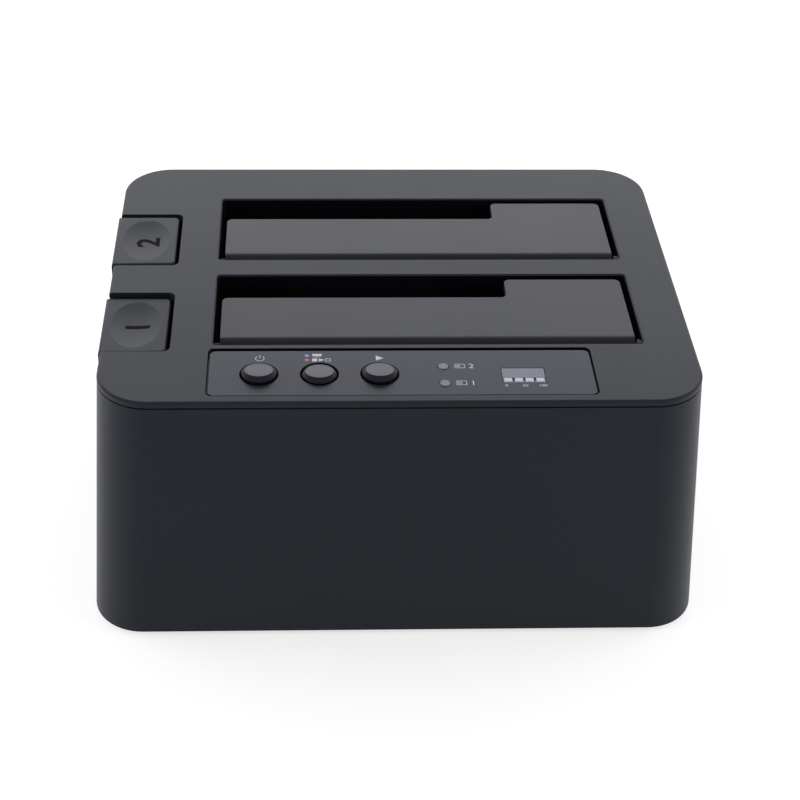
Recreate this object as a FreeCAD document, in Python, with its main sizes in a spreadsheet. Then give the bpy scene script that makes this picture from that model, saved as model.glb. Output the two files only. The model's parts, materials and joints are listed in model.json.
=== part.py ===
import FreeCAD, Part
import math
import os
import re
import Sketcher

# Dual-bay drive duplicator: a free-standing dock that holds two 3.5 inch or 2.5 inch drives upright.
# Millimetres. The origin is at the centre of the footprint on the table, +X right, +Y to the back
# and +Z up. Driving dimensions are cells of the Sizes sheet, and every formula below is an
# expression over their aliases.

os.makedirs("parts", exist_ok=True)
doc = FreeCAD.newDocument("drive_duplicator")
sheet = doc.addObject("Spreadsheet::Sheet", "Sizes")

DRIVING_DIMENSIONS = {
    "Case": {
        "body_width": 142.0, "body_depth": 109.0, "body_height": 68.0, "corner_radius": 12.5,
        "wall_flare": 3.5, "case_wall": 2.2, "foot_height": 1.2, "floor_thickness": 2.2,
        "lid_thickness": 2.4, "lid_rim_height": 1.5, "lid_edge_round": 0.7, "seam_gap": 0.4,
        "seam_depth": 1.0, "lip_thickness": 1.2, "lip_height": 2.5, "shell_clearance": 0.25,
        "ledge_width": 1.2, "ledge_height": 1.5, "column_inset": 11.0, "column_radius": 3.5,
        "pilot_clearance": 0.05, "pilot_depth": 9.0, "boss_height": 1.4,
    },
    "Drive bays": {
        "slot_offset": 26.6, "slot_end_margin": 12.0, "slot_bridge": 7.5,
        "slot_back_margin": 17.0, "panel_to_slot": 1.7, "slot_corner": 1.0,
        "slot_edge_break": 0.35, "well_wall": 1.8, "well_floor": 2.0, "well_floor_top": 14.5,
        "well_leg": 5.6, "well_leg_inset": 3.7, "well_leg_margin": 5.0,
        "drive_side_clearance": 0.9, "drive_back_clearance": 0.9, "guide_rib_width": 1.6,
        "guide_rib_height": 0.5,
    },
    "Bay doors": {
        "door_sink": 0.5, "door_thickness": 2.0, "door_end_gap": 1.6, "door_front_gap": 0.4,
        "door_back_gap": 1.6, "door_roll": 3.5, "door_corner": 1.5, "hinge_inset": 2.1,
        "hinge_sink": 1.5, "hinge_pin_radius": 0.7, "hinge_running_fit": 0.06,
        "hinge_pin_reach": 1.5, "hinge_socket_spare": 0.3, "lug_width": 3.0, "lug_depth": 5.0,
        "lug_drop": 2.4, "notch_length": 72.4, "notch_opening": 9.7, "door_rib_width": 1.2,
        "door_rib_height": 0.6, "door_rib_spacing": 33.1, "stop_ledge": 0.9, "stop_gap": 0.3,
        "door_spring_wire": 0.35, "door_spring_radius": 1.1, "door_spring_rise": 0.385,
        "door_spring_turns": 2.5, "door_spring_leg": 6.6, "door_spring_foot": 1.4,
        "door_spring_gap": 0.4,
    },
    "Eject mechanism": {
        "cutout_length": 16.5, "cutout_width": 25.4, "cutout_shift": 5.4, "cutout_corner": 1.8,
        "eject_gap": 0.9, "eject_proud": 0.6, "eject_sink_front": 0.9, "eject_sink_rear": 0.2,
        "eject_thickness": 2.2, "skirt_length": 14.0,
        "skirt_clearance": 0.3, "channel_depth": 0.9, "channel_backing": 2.0,
        "channel_margin": 1.0, "eject_travel": 5.0,
        "eject_corner": 1.5, "eject_edge_round": 0.8, "dish_length": 20.0, "dish_width": 12.6,
        "dish_depth": 0.8, "stem_inset": 8.0, "stem_radius": 2.2, "stem_clearance": 0.3,
        "shelf_height": 44.0, "shelf_thickness": 2.2, "shelf_length": 13.5, "collar_radius": 3.4,
        "collar_height": 1.5, "eject_spring_wire": 0.7, "eject_spring_radius": 3.3,
        "eject_spring_turns": 5.0,
        "lever_pivot_height": 11.0, "lever_pivot_offset": 21.0, "lever_width": 8.0,
        "lever_arm_thickness": 2.4, "lever_hub_radius": 3.2, "lever_pin_radius": 1.5,
        "lever_overhang": 2.0, "lever_reach": 13.1, "lever_pad_length": 4.0,
        "lever_pad_slope": 1.0, "lever_side_clearance": 0.3, "lever_running_fit": 0.05,
        "lever_slot_rise": 1.1, "ear_thickness": 2.0, "ear_cap": 3.0,
    },
    "Control panel": {
        "panel_end_margin": 25.9, "panel_depth": 17.7, "panel_thickness": 1.3,
        "panel_sink": 0.1, "panel_offset": 26.1, "panel_front": 2.9, "panel_corner": 1.5,
        "panel_side_gap": 0.5, "panel_back_gap": 1.0, "panel_front_gap": 0.3,
        "button_hole_radius": 4.55, "button_radius": 4.15, "button_top_radius": 3.2,
        "button_bevel": 1.2, "button_proud": 1.8, "middle_button_proud": 1.4,
        "button_first_share": 0.13, "button_pitch_share": 0.15667, "button_row_shift": 0.5,
        "flange_radius": 5.0, "flange_thickness": 0.8, "button_stem_radius": 1.6,
        "button_stem_clearance": 0.3, "stem_engagement": 0.8, "led_radius": 1.18,
        "led_hole_clearance": 0.1, "led_proud": 0.2, "led_share": 0.61, "led_row_shift": 1.1,
        "led_pitch": 6.7, "lens_flange": 0.7, "lens_flange_thickness": 1.0, "lens_gap": 1.5,
        "window_width": 10.0, "window_depth": 5.8, "window_share": 0.7611,
        "window_row_shift": 1.35, "window_clearance": 0.1, "bar_width": 1.86,
        "bar_depth": 1.5, "bar_pitch": 2.5, "bar_thickness": 0.4, "bar_proud": 0.05,
    },
    "Boards": {
        "board_thickness": 1.6, "board_standoff": 4.0, "board_clearance": 1.5,
        "board_front": 6.5, "board_back_margin": 4.5, "board_hole_inset": 4.0,
        "board_hole_radius": 1.6, "standoff_radius": 3.0, "control_board_drop": 7.2,
        "control_board_end_margin": 0.8, "control_board_edge_margin": 1.6,
        "post_radius": 1.8, "post_clearance": 0.3, "switch_size": 6.0, "switch_height": 4.0,
        "switch_bore": 2.4, "connector_width": 42.7, "connector_depth": 6.0,
        "connector_height": 10.4, "connector_foot_height": 4.7, "connector_shoulder": 2.5,
        "connector_datum": 30.12, "connector_line": 3.5, "connector_clearance": 0.4,
        "horn_width": 2.0, "horn_depth": 3.6, "horn_drop": 1.0, "mouth_depth": 6.2,
        "mouth_width": 1.4, "key_size": 1.2, "power_mouth_length": 20.9,
        "power_mouth_shift": 7.6, "data_mouth_length": 10.6, "data_mouth_shift": 12.0,
        "header_width": 14.0, "header_depth": 4.0, "header_height": 4.4,
        "ribbon_thickness": 0.6, "ribbon_width": 12.0, "indicator_height": 1.2,
        "chip_thickness": 1.4, "bridge_chip": 12.0, "memory_chip": 7.0, "bay_chip": 10.0,
        "chip_edge_gap": 2.5, "chip_spacing": 3.0, "can_radius": 3.15, "can_height": 9.0,
        "can_pitch": 8.0, "can_inset": 14.4, "can_front": 5.0,
    },
    "Rear ports": {
        "port_recess": 1.3, "port_clearance": 0.3, "port_depth": 15.0, "tongue_setback": 1.0,
        "power_jack_inset": 31.0, "power_jack_width": 9.0, "power_jack_height": 11.0,
        "power_jack_radius": 3.2, "power_jack_shoulder": 1.2, "power_pin_radius": 1.0,
        "power_jack_depth": 9.5, "usb_inset": 50.0, "usb_width": 12.0, "usb_height": 10.8,
        "usb_opening_width": 8.5, "usb_opening_height": 7.8, "usb_tongue_width": 5.6,
        "usb_tongue_height": 3.2, "usb_depth": 9.0, "esata_inset": 74.0, "esata_width": 16.6,
        "esata_height": 7.0, "esata_opening_width": 13.0, "esata_opening_height": 4.8,
        "esata_tongue_width": 10.4, "esata_tongue_height": 1.2, "esata_depth": 7.0,
    },
    "Feet, vents and screws": {
        "foot_radius": 5.0, "foot_seat_depth": 0.8, "foot_chamfer": 0.5,
        "foot_side_inset": 23.0, "foot_end_inset": 11.0, "screw_radius": 1.5,
        "screw_head_radius": 2.7, "screw_head_height": 1.3, "screw_length": 8.0,
        "screw_clearance": 0.2, "small_screw_radius": 1.0, "small_screw_clearance": 0.1,
        "small_head_radius": 1.9, "small_head_height": 1.2, "small_screw_length": 5.0,
        "small_screw_spare": 1.0, "vent_length": 26.0, "vent_width": 2.4, "vent_pitch": 6.0,
        "vent_count": 7.0,
    },
}

# Sizes that follow from the driving ones, by name.
FOLLOWING_DIMENSIONS = {
    "slot_width": "body_width - slot_offset - slot_end_margin",
    "slot_front": "panel_front + panel_depth + panel_back_gap + panel_to_slot",
    "slot_depth": "(body_depth - slot_front - slot_bridge - slot_back_margin) / 2",
    "slot_pitch": "slot_depth + slot_bridge",
    "panel_width": "body_width - panel_offset - panel_end_margin",
    "button_pitch": "button_pitch_share * panel_width",
    "board_side_margin": "well_leg_inset + well_leg / 2 + board_clearance",
    "board_width": "slot_width - 2 * board_side_margin",
    "board_depth": "body_depth - board_front - board_back_margin",
    "control_board_width": "panel_width - 2 * control_board_end_margin",
    "control_board_depth": "panel_depth - 2 * control_board_edge_margin",
    "foot_across": "body_width / 2 - foot_side_inset",
    "foot_along": "body_depth / 2 - foot_end_inset",
}

ALIASES = {}
row = 1
for group, dimensions in DRIVING_DIMENSIONS.items():
    sheet.set("A%d" % row, group)
    row += 1
    for alias, number in dimensions.items():
        sheet.set("A%d" % row, alias)
        sheet.set("B%d" % row, str(number))
        sheet.setAlias("B%d" % row, alias)
        ALIASES[alias] = number
        row += 1
doc.recompute()


# ---------------------------------------------------------------- expressions and sketches

def expression(formula):
    """Write a formula over the sizes' names as a FreeCAD expression over the sheet's aliases."""
    def spell_out(match):
        name = match.group(0)
        if name in FOLLOWING_DIMENSIONS:
            return "(%s)" % expression(FOLLOWING_DIMENSIONS[name])
        return "Sizes." + name if name in ALIASES else name
    return re.sub(r"[a-z][a-z_]+[a-z]", spell_out, str(formula))


def number(formula):
    """The present value of a formula."""
    return float(doc.getObject("Sizes").evalExpression(expression(formula)))


def bind(target, prop, formula):
    target.setExpression(prop, expression(formula))


def new_body(label, x="0", y="0", z="0"):
    """A body whose own origin lies at (x, y, z)."""
    body = doc.addObject("PartDesign::Body", label)
    body.Label = label
    for axis, formula in (("x", x), ("y", y), ("z", z)):
        bind(body, "Placement.Base." + axis, formula)
    return body


def origin_feature(body, role):
    return next(item for item in body.Origin.OriginFeatures if item.Role == role)


# How the global x, y and z of a point become the offset of a sketch on each origin plane.
PLANE_OFFSETS = {
    "XY_Plane": lambda x, y, z: (x, y, z),
    "XZ_Plane": lambda x, y, z: (x, z, "-(%s)" % y),
    "YZ_Plane": lambda x, y, z: (y, z, x),
}


def new_sketch(body, plane, at=("0", "0", "0")):
    sketch = body.newObject("Sketcher::SketchObject", "Sketch")
    sketch.AttachmentSupport = (origin_feature(body, plane), [""])
    sketch.MapMode = "FlatFace"
    for axis, formula in zip("xyz", PLANE_OFFSETS[plane](*at)):
        bind(sketch, "AttachmentOffset.Base." + axis, formula)
    return sketch


def constrain(sketch, formula, kind, *where):
    """Add a dimension whose value follows a formula."""
    index = sketch.addConstraint(Sketcher.Constraint(kind, *where, number(formula)))
    bind(sketch, "Constraints[%d]" % index, formula)


def draw_circle(sketch, radius):
    index = sketch.addGeometry(Part.Circle(FreeCAD.Vector(0, 0, 0), FreeCAD.Vector(0, 0, 1),
                                           number(radius)))
    sketch.addConstraint(Sketcher.Constraint("Coincident", index, 3, -1, 1))
    constrain(sketch, radius, "Radius", index)


def draw_rectangle(sketch, width, depth, radius=None):
    """A rectangle centred on the sketch, with round corners when a radius is given."""
    half_width = number(width) / 2
    half_depth = number(depth) / 2
    inset = number(radius) if radius else 0.0
    corners = [(-1, -1), (1, -1), (1, 1), (-1, 1)]
    sides = []
    for (ax, ay), (bx, by) in zip(corners, corners[1:] + corners[:1]):
        along_x = inset if ay == by else 0.0
        along_y = inset if ax == bx else 0.0
        start = FreeCAD.Vector(ax * (half_width - along_x), ay * (half_depth - along_y), 0)
        end = FreeCAD.Vector(bx * (half_width - along_x), by * (half_depth - along_y), 0)
        sides.append(sketch.addGeometry(Part.LineSegment(start, end)))
    for side, kind in zip(sides, ("Horizontal", "Vertical", "Horizontal", "Vertical")):
        sketch.addConstraint(Sketcher.Constraint(kind, side))
    if radius is None:
        for side, following in zip(sides, sides[1:] + sides[:1]):
            sketch.addConstraint(Sketcher.Constraint("Coincident", side, 2, following, 1))
        sketch.addConstraint(Sketcher.Constraint("Symmetric", sides[0], 1, sides[2], 1, -1, 1))
        constrain(sketch, width, "DistanceX", sides[0], 1, sides[0], 2)
        constrain(sketch, depth, "DistanceY", sides[1], 1, sides[1], 2)
        return
    arcs = []
    for index, (cx, cy) in enumerate(corners[1:] + corners[:1]):
        centre = FreeCAD.Vector(cx * (half_width - inset), cy * (half_depth - inset), 0)
        start_angle = (index - 1) * math.pi / 2
        circle = Part.Circle(centre, FreeCAD.Vector(0, 0, 1), inset)
        arc = sketch.addGeometry(Part.ArcOfCircle(circle, start_angle, start_angle + math.pi / 2))
        following = sides[(index + 1) % 4]
        sketch.addConstraint(Sketcher.Constraint("Tangent", sides[index], 2, arc, 1))
        sketch.addConstraint(Sketcher.Constraint("Tangent", arc, 2, following, 1))
        arcs.append(arc)
    for arc in arcs[1:]:
        sketch.addConstraint(Sketcher.Constraint("Equal", arcs[0], arc))
    constrain(sketch, radius, "Radius", arcs[0])
    sketch.addConstraint(Sketcher.Constraint("Symmetric", arcs[0], 3, arcs[2], 3, -1, 1))
    constrain(sketch, "(%s) - 2 * (%s)" % (width, radius), "DistanceX", arcs[3], 3, arcs[0], 3)
    constrain(sketch, "(%s) - 2 * (%s)" % (depth, radius), "DistanceY", arcs[0], 3, arcs[1], 3)


def draw_polygon(sketch, points):
    """A closed outline through (x, y) points given as formulas."""
    spots = [FreeCAD.Vector(number(x), number(y), 0) for x, y in points]
    edges = []
    for start, end in zip(spots, spots[1:] + spots[:1]):
        edges.append(sketch.addGeometry(Part.LineSegment(start, end)))
    for edge, following in zip(edges, edges[1:] + edges[:1]):
        sketch.addConstraint(Sketcher.Constraint("Coincident", edge, 2, following, 1))
    for edge, (x, y) in zip(edges, points):
        place_point(sketch, edge, 1, x, y)


def place_point(sketch, edge, end, x, y):
    """Fix one end of an edge at (x, y); a zero keeps it on the sketch's own axis."""
    for formula, kind, axis in ((x, "DistanceX", -2), (y, "DistanceY", -1)):
        if formula == "0":
            sketch.addConstraint(Sketcher.Constraint("PointOnObject", edge, end, axis))
        else:
            constrain(sketch, formula, kind, -1, 1, edge, end)


# ---------------------------------------------------------------- features

def extrude(body, kind, sketch, length=None, **settings):
    feature = body.newObject("PartDesign::" + kind, kind)
    feature.Profile = sketch
    for prop, setting in settings.items():
        setattr(feature, prop, setting)
    if length is None:
        feature.Type = "ThroughAll"
    else:
        bind(feature, "Length", length)
    sketch.Visibility = False
    return feature


def plate(body, at, width, depth, height, radius=None, inner=None):
    """A flat plate whose underside is centred at a point; inner gives the outline of its hole."""
    sketch = new_sketch(body, "XY_Plane", at)
    draw_rectangle(sketch, width, depth, radius)
    if inner:
        draw_rectangle(sketch, *inner)
    return extrude(body, "Pad", sketch, height)


def cut_down(body, at, width, depth, height=None, radius=None):
    """Cut a rectangular pocket downwards from a point at the centre of its mouth."""
    sketch = new_sketch(body, "XY_Plane", at)
    draw_rectangle(sketch, width, depth, radius)
    return extrude(body, "Pocket", sketch, height)


def post(body, at, radius, height):
    sketch = new_sketch(body, "XY_Plane", at)
    draw_circle(sketch, radius)
    return extrude(body, "Pad", sketch, height)


def drill_down(body, at, radius, depth=None, upwards=False):
    sketch = new_sketch(body, "XY_Plane", at)
    draw_circle(sketch, radius)
    return extrude(body, "Pocket", sketch, depth, Reversed=upwards)


def block(body, kind, corner, size):
    """A box feature: kind is Additive or Subtractive, corner its lowest point."""
    feature = body.newObject("PartDesign::%sBox" % kind, "Block")
    for prop, formula in zip(("Length", "Width", "Height"), size):
        bind(feature, prop, formula)
    for axis, formula in zip("xyz", corner):
        bind(feature, "Placement.Base." + axis, formula)
    return feature


ROD_TURNS = {
    "x": FreeCAD.Rotation(FreeCAD.Vector(0, 1, 0), 90),
    "y": FreeCAD.Rotation(FreeCAD.Vector(1, 0, 0), -90),
    "z": FreeCAD.Rotation(),
}


def rod(body, kind, start, along, radius, length):
    """A cylinder feature that runs from its start point along x, y or z."""
    feature = body.newObject("PartDesign::%sCylinder" % kind, "Rod")
    feature.Placement = FreeCAD.Placement(FreeCAD.Vector(0, 0, 0), ROD_TURNS[along])
    bind(feature, "Radius", radius)
    bind(feature, "Height", length)
    for axis, formula in zip("xyz", start):
        bind(feature, "Placement.Base." + axis, formula)
    return feature


def mirror_both_ways(body, features):
    """Repeat features on the other side of the body's own X and Y centre planes."""
    transform = body.newObject("PartDesign::MultiTransform", "Corners")
    transform.Originals = features
    mirrors = []
    for plane in ("YZ_Plane", "XZ_Plane"):
        mirror = body.newObject("PartDesign::Mirrored", "Mirror")
        mirror.MirrorPlane = (origin_feature(body, plane), [""])
        mirrors.append(mirror)
    transform.Transformations = mirrors
    body.Tip = transform
    return transform


def repeat_along(body, axis, features, pitch, count):
    """Repeat features along one of the body's own axes at a steady pitch."""
    pattern = body.newObject("PartDesign::LinearPattern", "Row")
    pattern.Originals = features
    pattern.Direction = (origin_feature(body, axis), [""])
    pattern.Mode = "Spacing"
    bind(pattern, "Offset", pitch)
    bind(pattern, "Occurrences", count)
    body.Tip = pattern
    return pattern


def edges_where(feature, test):
    """Names of the edges of a feature whose middle point and ends pass a test."""
    names = []
    for index, edge in enumerate(feature.Shape.Edges):
        middle = edge.valueAt((edge.FirstParameter + edge.LastParameter) / 2)
        if test(edge, middle):
            names.append("Edge%d" % (index + 1))
    return names


def round_edges(body, test, radius, kind="Fillet"):
    doc.recompute()
    base = body.Tip
    feature = body.newObject("PartDesign::" + kind, kind)
    feature.Base = (base, edges_where(base, test))
    bind(feature, "Radius" if kind == "Fillet" else "Size", radius)
    body.Tip = feature
    return feature


def is_vertical(edge):
    if len(edge.Vertexes) != 2:
        return False
    first, last = edge.Vertexes[0].Point, edge.Vertexes[1].Point
    return abs(first.x - last.x) < 1e-4 and abs(first.y - last.y) < 1e-4


def near(one, other):
    return abs(one - other) < 1e-3


# ---------------------------------------------------------------- places that pieces share

LEFT = "(-body_width / 2)"
LID_UNDER = "(body_height - lid_thickness)"
SEAM_TOP = "(body_height - lid_rim_height)"
CASE_TOP = "(body_height - lid_rim_height - seam_gap)"
FLOOR_TOP = "(foot_height + floor_thickness)"
FOOT_WIDTH = "(body_width + 2 * wall_flare)"
FOOT_DEPTH = "(body_depth + 2 * wall_flare)"
COLUMN_X = "(body_width / 2 - column_inset)"
COLUMN_Y = "(body_depth / 2 - column_inset)"
COLUMN_FOOT = "(foot_height + floor_thickness + boss_height)"

SLOT_X = "(slot_offset + slot_width / 2 - body_width / 2)"
SLOT_FRONTS = ["(slot_front - body_depth / 2 + %d * slot_pitch)" % bay for bay in (0, 1)]
HINGE_HEIGHT = "(body_height - door_sink - hinge_sink)"
EJECT_SINKS = ("eject_sink_front", "eject_sink_rear")
CUTOUT_YS = ["(%s + slot_depth / 2 - cutout_shift)" % slot_front for slot_front in SLOT_FRONTS]
CONNECTOR_X = "(slot_offset + drive_side_clearance + connector_datum - body_width / 2)"
CONNECTOR_Y = "(slot_depth - drive_back_clearance - connector_line)"
LEVER_X = "(lever_pivot_offset - body_width / 2)"
LEVER_Y = "(slot_depth / 2)"
STEM_X = "(stem_inset - body_width / 2)"
STEM_Y = ["(%s + %s)" % (front, LEVER_Y) for front in SLOT_FRONTS]

BOARD_UNDER = "(foot_height + floor_thickness + board_standoff)"
BOARD_TOP = "(foot_height + floor_thickness + board_standoff + board_thickness)"
BOARD_X = SLOT_X
BOARD_Y = "(board_front + board_depth / 2 - body_depth / 2)"
BOARD_RIGHT = "(%s + board_width / 2)" % SLOT_X
BOARD_CORNERS = [("%s + %d * (board_width / 2 - board_hole_inset)" % (BOARD_X, x_sign),
                  "%s + %d * (board_depth / 2 - board_hole_inset)" % (BOARD_Y, y_sign))
                 for x_sign, y_sign in ((-1, -1), (1, 1), (1, -1), (-1, 1))]
SCREWED_CORNERS = BOARD_CORNERS[:2]
PORT_FACE = "(body_depth / 2 + wall_flare - port_recess)"
PORTS = {"power_jack": ("power_jack_inset", "power_jack_width", "power_jack_height"),
         "usb_port": ("usb_inset", "usb_width", "usb_height"),
         "esata_port": ("esata_inset", "esata_width", "esata_height")}

PANEL_X = "(panel_offset + panel_width / 2 - body_width / 2)"
PANEL_Y = "(panel_front + panel_depth / 2 - body_depth / 2)"
PANEL_UNDER = "(body_height - panel_sink - panel_thickness)"
PANEL_LEFT = "(panel_offset - body_width / 2)"
BUTTON_XS = ["(%s + button_first_share * panel_width + %d * button_pitch)" % (PANEL_LEFT, place)
             for place in (0, 1, 2)]
BUTTON_Y = "(%s - button_row_shift)" % PANEL_Y
LED_X = "(%s + led_share * panel_width)" % PANEL_LEFT
LED_YS = ["(%s - led_row_shift + %s * led_pitch)" % (PANEL_Y, place) for place in (-0.5, 0.5)]
WINDOW_X = "(%s + window_share * panel_width + window_width / 2)" % PANEL_LEFT
WINDOW_Y = "(%s - window_row_shift)" % PANEL_Y
CONTROL_TOP = "(body_height - lid_thickness - control_board_drop)"
CONTROL_UNDER = "(body_height - lid_thickness - control_board_drop - board_thickness)"
CONTROL_POSTS = ["(%s - flange_radius - post_radius - post_clearance)" % BUTTON_XS[0],
                 "(%s + window_width / 2 + lens_flange + post_radius + post_clearance)"
                 % WINDOW_X]
HEADER_X = "(%s + header_width / 2)" % LED_X
HEADER_Y = "(%s + control_board_depth / 2 - header_depth)" % BUTTON_Y


# ---------------------------------------------------------------- case

def make_main_housing():
    """Tall drafted shell, open at top and bottom, that flares towards the table."""
    body = new_body("main_housing")
    outlines = {}
    for name, inset in (("outer", "0"), ("inner", "case_wall")):
        for level, height, grow in (("low", "foot_height", "wall_flare"), ("high", CASE_TOP, "0")):
            sketch = new_sketch(body, "XY_Plane", ("0", "0", height))
            width = "(body_width + 2 * %s - 2 * %s)" % (grow, inset)
            depth = "(body_depth + 2 * %s - 2 * %s)" % (grow, inset)
            draw_rectangle(sketch, width, depth, "(corner_radius - %s)" % inset)
            outlines[name, level] = sketch
    for name, kind in (("outer", "AdditiveLoft"), ("inner", "SubtractiveLoft")):
        loft = body.newObject("PartDesign::" + kind, "Shell")
        loft.Profile = outlines[name, "low"]
        loft.Sections = [outlines[name, "high"]]
        loft.Ruled = True
    inner_width = "(body_width - 2 * case_wall)"
    inner_depth = "(body_depth - 2 * case_wall)"
    plate(body, ("0", "0", CASE_TOP), "(body_width - 2 * seam_depth)",
          "(body_depth - 2 * seam_depth)", "seam_gap", "(corner_radius - seam_depth)",
          (inner_width, inner_depth, "(corner_radius - case_wall)"))
    plate(body, ("0", "0", FLOOR_TOP), "(%s - case_wall)" % FOOT_WIDTH,
          "(%s - case_wall)" % FOOT_DEPTH, "ledge_height", "(corner_radius - case_wall / 2)",
          ("(%s - 2 * case_wall - 2 * ledge_width)" % FOOT_WIDTH,
           "(%s - 2 * case_wall - 2 * ledge_width)" % FOOT_DEPTH,
           "(corner_radius - case_wall - ledge_width)"))
    channel_floor = "(channel_depth - body_width / 2)"
    for cutout_y, stem_y, sink in zip(CUTOUT_YS, STEM_Y, EJECT_SINKS):
        channel_bottom = ("(body_height - %s - skirt_length - eject_travel - channel_margin)"
                          % sink)
        backing_top = ("(body_height - %s - eject_thickness - eject_travel - 2 * stem_clearance)"
                       % sink)
        block(body, "Additive",
              (channel_floor, "%s - cutout_width / 2 - 1" % cutout_y,
               "%s - channel_backing" % channel_bottom),
              ("channel_backing", "cutout_width + 2",
               "%s - %s + channel_backing" % (backing_top, channel_bottom)))
        block(body, "Additive",
              (channel_floor, "%s - collar_radius - 2 * shelf_thickness" % stem_y, "shelf_height"),
              ("shelf_length", "2 * collar_radius + 4 * shelf_thickness", "shelf_thickness"))
        block(body, "Subtractive",
              ("-body_width / 2 - 2 * wall_flare", "%s - cutout_width / 2" % cutout_y,
               channel_bottom),
              ("2 * wall_flare + channel_depth", "cutout_width",
               "body_height - %s" % channel_bottom))
        block(body, "Subtractive",
              ("-body_width / 2", "%s - cutout_width / 2" % cutout_y, backing_top),
              ("2 * channel_backing + channel_depth", "cutout_width",
               "body_height - %s" % backing_top))
        rod(body, "Subtractive", (STEM_X, stem_y, "shelf_height - 1"), "z",
            "stem_radius + stem_clearance", "shelf_thickness + 2")
    for inset, width, height in PORTS.values():
        block(body, "Subtractive",
              ("body_width / 2 - %s - %s / 2 - port_clearance" % (inset, width),
               "body_depth / 2 - 2 * case_wall", "%s - port_clearance" % BOARD_TOP),
              ("%s + 2 * port_clearance" % width, "4 * case_wall",
               "%s + 2 * port_clearance" % height))
    return body


def make_top_cover():
    """Lid with its bay slots, hinge lugs, eject cut-outs, panel recess and four screw columns."""
    body = new_body("top_cover")
    plate(body, ("0", "0", SEAM_TOP), "body_width", "body_depth", "lid_rim_height",
          "corner_radius")
    plug = "(case_wall + shell_clearance)"
    plug_outline = ("(body_width - 2 * %s)" % plug, "(body_depth - 2 * %s)" % plug,
                    "(corner_radius - %s)" % plug)
    plate(body, ("0", "0", LID_UNDER), plug_outline[0], plug_outline[1],
          "lid_thickness - lid_rim_height", plug_outline[2])
    lip = "(%s + lip_thickness)" % plug
    plate(body, ("0", "0", "%s - lip_height" % LID_UNDER), plug_outline[0], plug_outline[1],
          "lip_height", plug_outline[2],
          ("(body_width - 2 * %s)" % lip, "(body_depth - 2 * %s)" % lip,
           "(corner_radius - %s)" % lip))
    column = post(body, (COLUMN_X, COLUMN_Y, COLUMN_FOOT), "column_radius",
                  "%s - %s" % (LID_UNDER, COLUMN_FOOT))
    pilot = drill_down(body, (COLUMN_X, COLUMN_Y, COLUMN_FOOT),
                       "screw_radius + pilot_clearance", "pilot_depth", upwards=True)
    mirror_both_ways(body, [column, pilot])
    for post_x in CONTROL_POSTS:
        post(body, (post_x, BUTTON_Y, CONTROL_TOP), "post_radius",
             "%s - %s" % (LID_UNDER, CONTROL_TOP))
        drill_down(body, (post_x, BUTTON_Y, CONTROL_TOP), "small_screw_radius",
                   "small_screw_length", upwards=True)
    for slot_front, cutout_y in zip(SLOT_FRONTS, CUTOUT_YS):
        hinge_y = "(%s + hinge_inset)" % slot_front
        slot_y = "(%s + slot_depth / 2)" % slot_front
        for end_x in ("%s - slot_width / 2 - lug_width" % SLOT_X, "%s + slot_width / 2" % SLOT_X):
            block(body, "Additive",
                  (end_x, "%s - hinge_inset" % hinge_y, "%s - lug_drop" % LID_UNDER),
                  ("lug_width", "lug_depth", "lug_drop"))
        cut_down(body, (SLOT_X, slot_y, "body_height"), "slot_width", "slot_depth",
                 "lid_thickness", "slot_corner")
        rod(body, "Subtractive",
            ("%s - slot_width / 2 - hinge_pin_reach - hinge_socket_spare" % SLOT_X, hinge_y,
             HINGE_HEIGHT), "x", "hinge_pin_radius + hinge_running_fit",
            "slot_width + 2 * (hinge_pin_reach + hinge_socket_spare)")
        cut_down(body, ("%s + cutout_length / 2 - corner_radius / 2" % LEFT, cutout_y,
                        "body_height"),
                 "cutout_length + corner_radius", "cutout_width", "lid_thickness + lip_height",
                 "cutout_corner")
    cut_down(body, (PANEL_X, "%s + (panel_back_gap - panel_front_gap) / 2" % PANEL_Y,
                    "body_height"),
             "panel_width + 2 * panel_side_gap",
             "panel_depth + panel_back_gap + panel_front_gap",
             "panel_sink + panel_thickness", "panel_corner")
    cut_panel_holes(body)
    round_edges(body, lambda edge, middle: near(middle.z, number("body_height"))
                and (abs(middle.x) > number("body_width / 2 - 0.01")
                     or abs(middle.y) > number("body_depth / 2 - 0.01")
                     or is_corner_arc(middle)), "lid_edge_round")
    slot_left = number("%s - slot_width / 2" % SLOT_X) - 0.01
    slot_right = number("%s + slot_width / 2" % SLOT_X) + 0.01
    round_edges(body, lambda edge, middle: near(middle.z, number("body_height"))
                and slot_left < middle.x < slot_right
                and middle.y > number("%s - 0.01" % SLOT_FRONTS[0]), "slot_edge_break", "Chamfer")
    return body


def is_corner_arc(middle):
    """Whether a point lies on one of the lid's round corners."""
    radius = number("corner_radius")
    across = abs(middle.x) - (number("body_width") / 2 - radius)
    along = abs(middle.y) - (number("body_depth") / 2 - radius)
    return across > 0 and along > 0 and near(math.hypot(across, along), radius)


def cut_panel_holes(body):
    """The holes that the lid and the panel inlay share."""
    for button_x in BUTTON_XS:
        drill_down(body, (button_x, BUTTON_Y, "body_height"), "button_hole_radius",
                   "lid_thickness")
    for led_y in LED_YS:
        drill_down(body, (LED_X, led_y, "body_height"), "led_radius + led_hole_clearance",
                   "lid_thickness")
    cut_down(body, (WINDOW_X, WINDOW_Y, "body_height"), "window_width + 2 * window_clearance",
             "window_depth + 2 * window_clearance", "lid_thickness")


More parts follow.
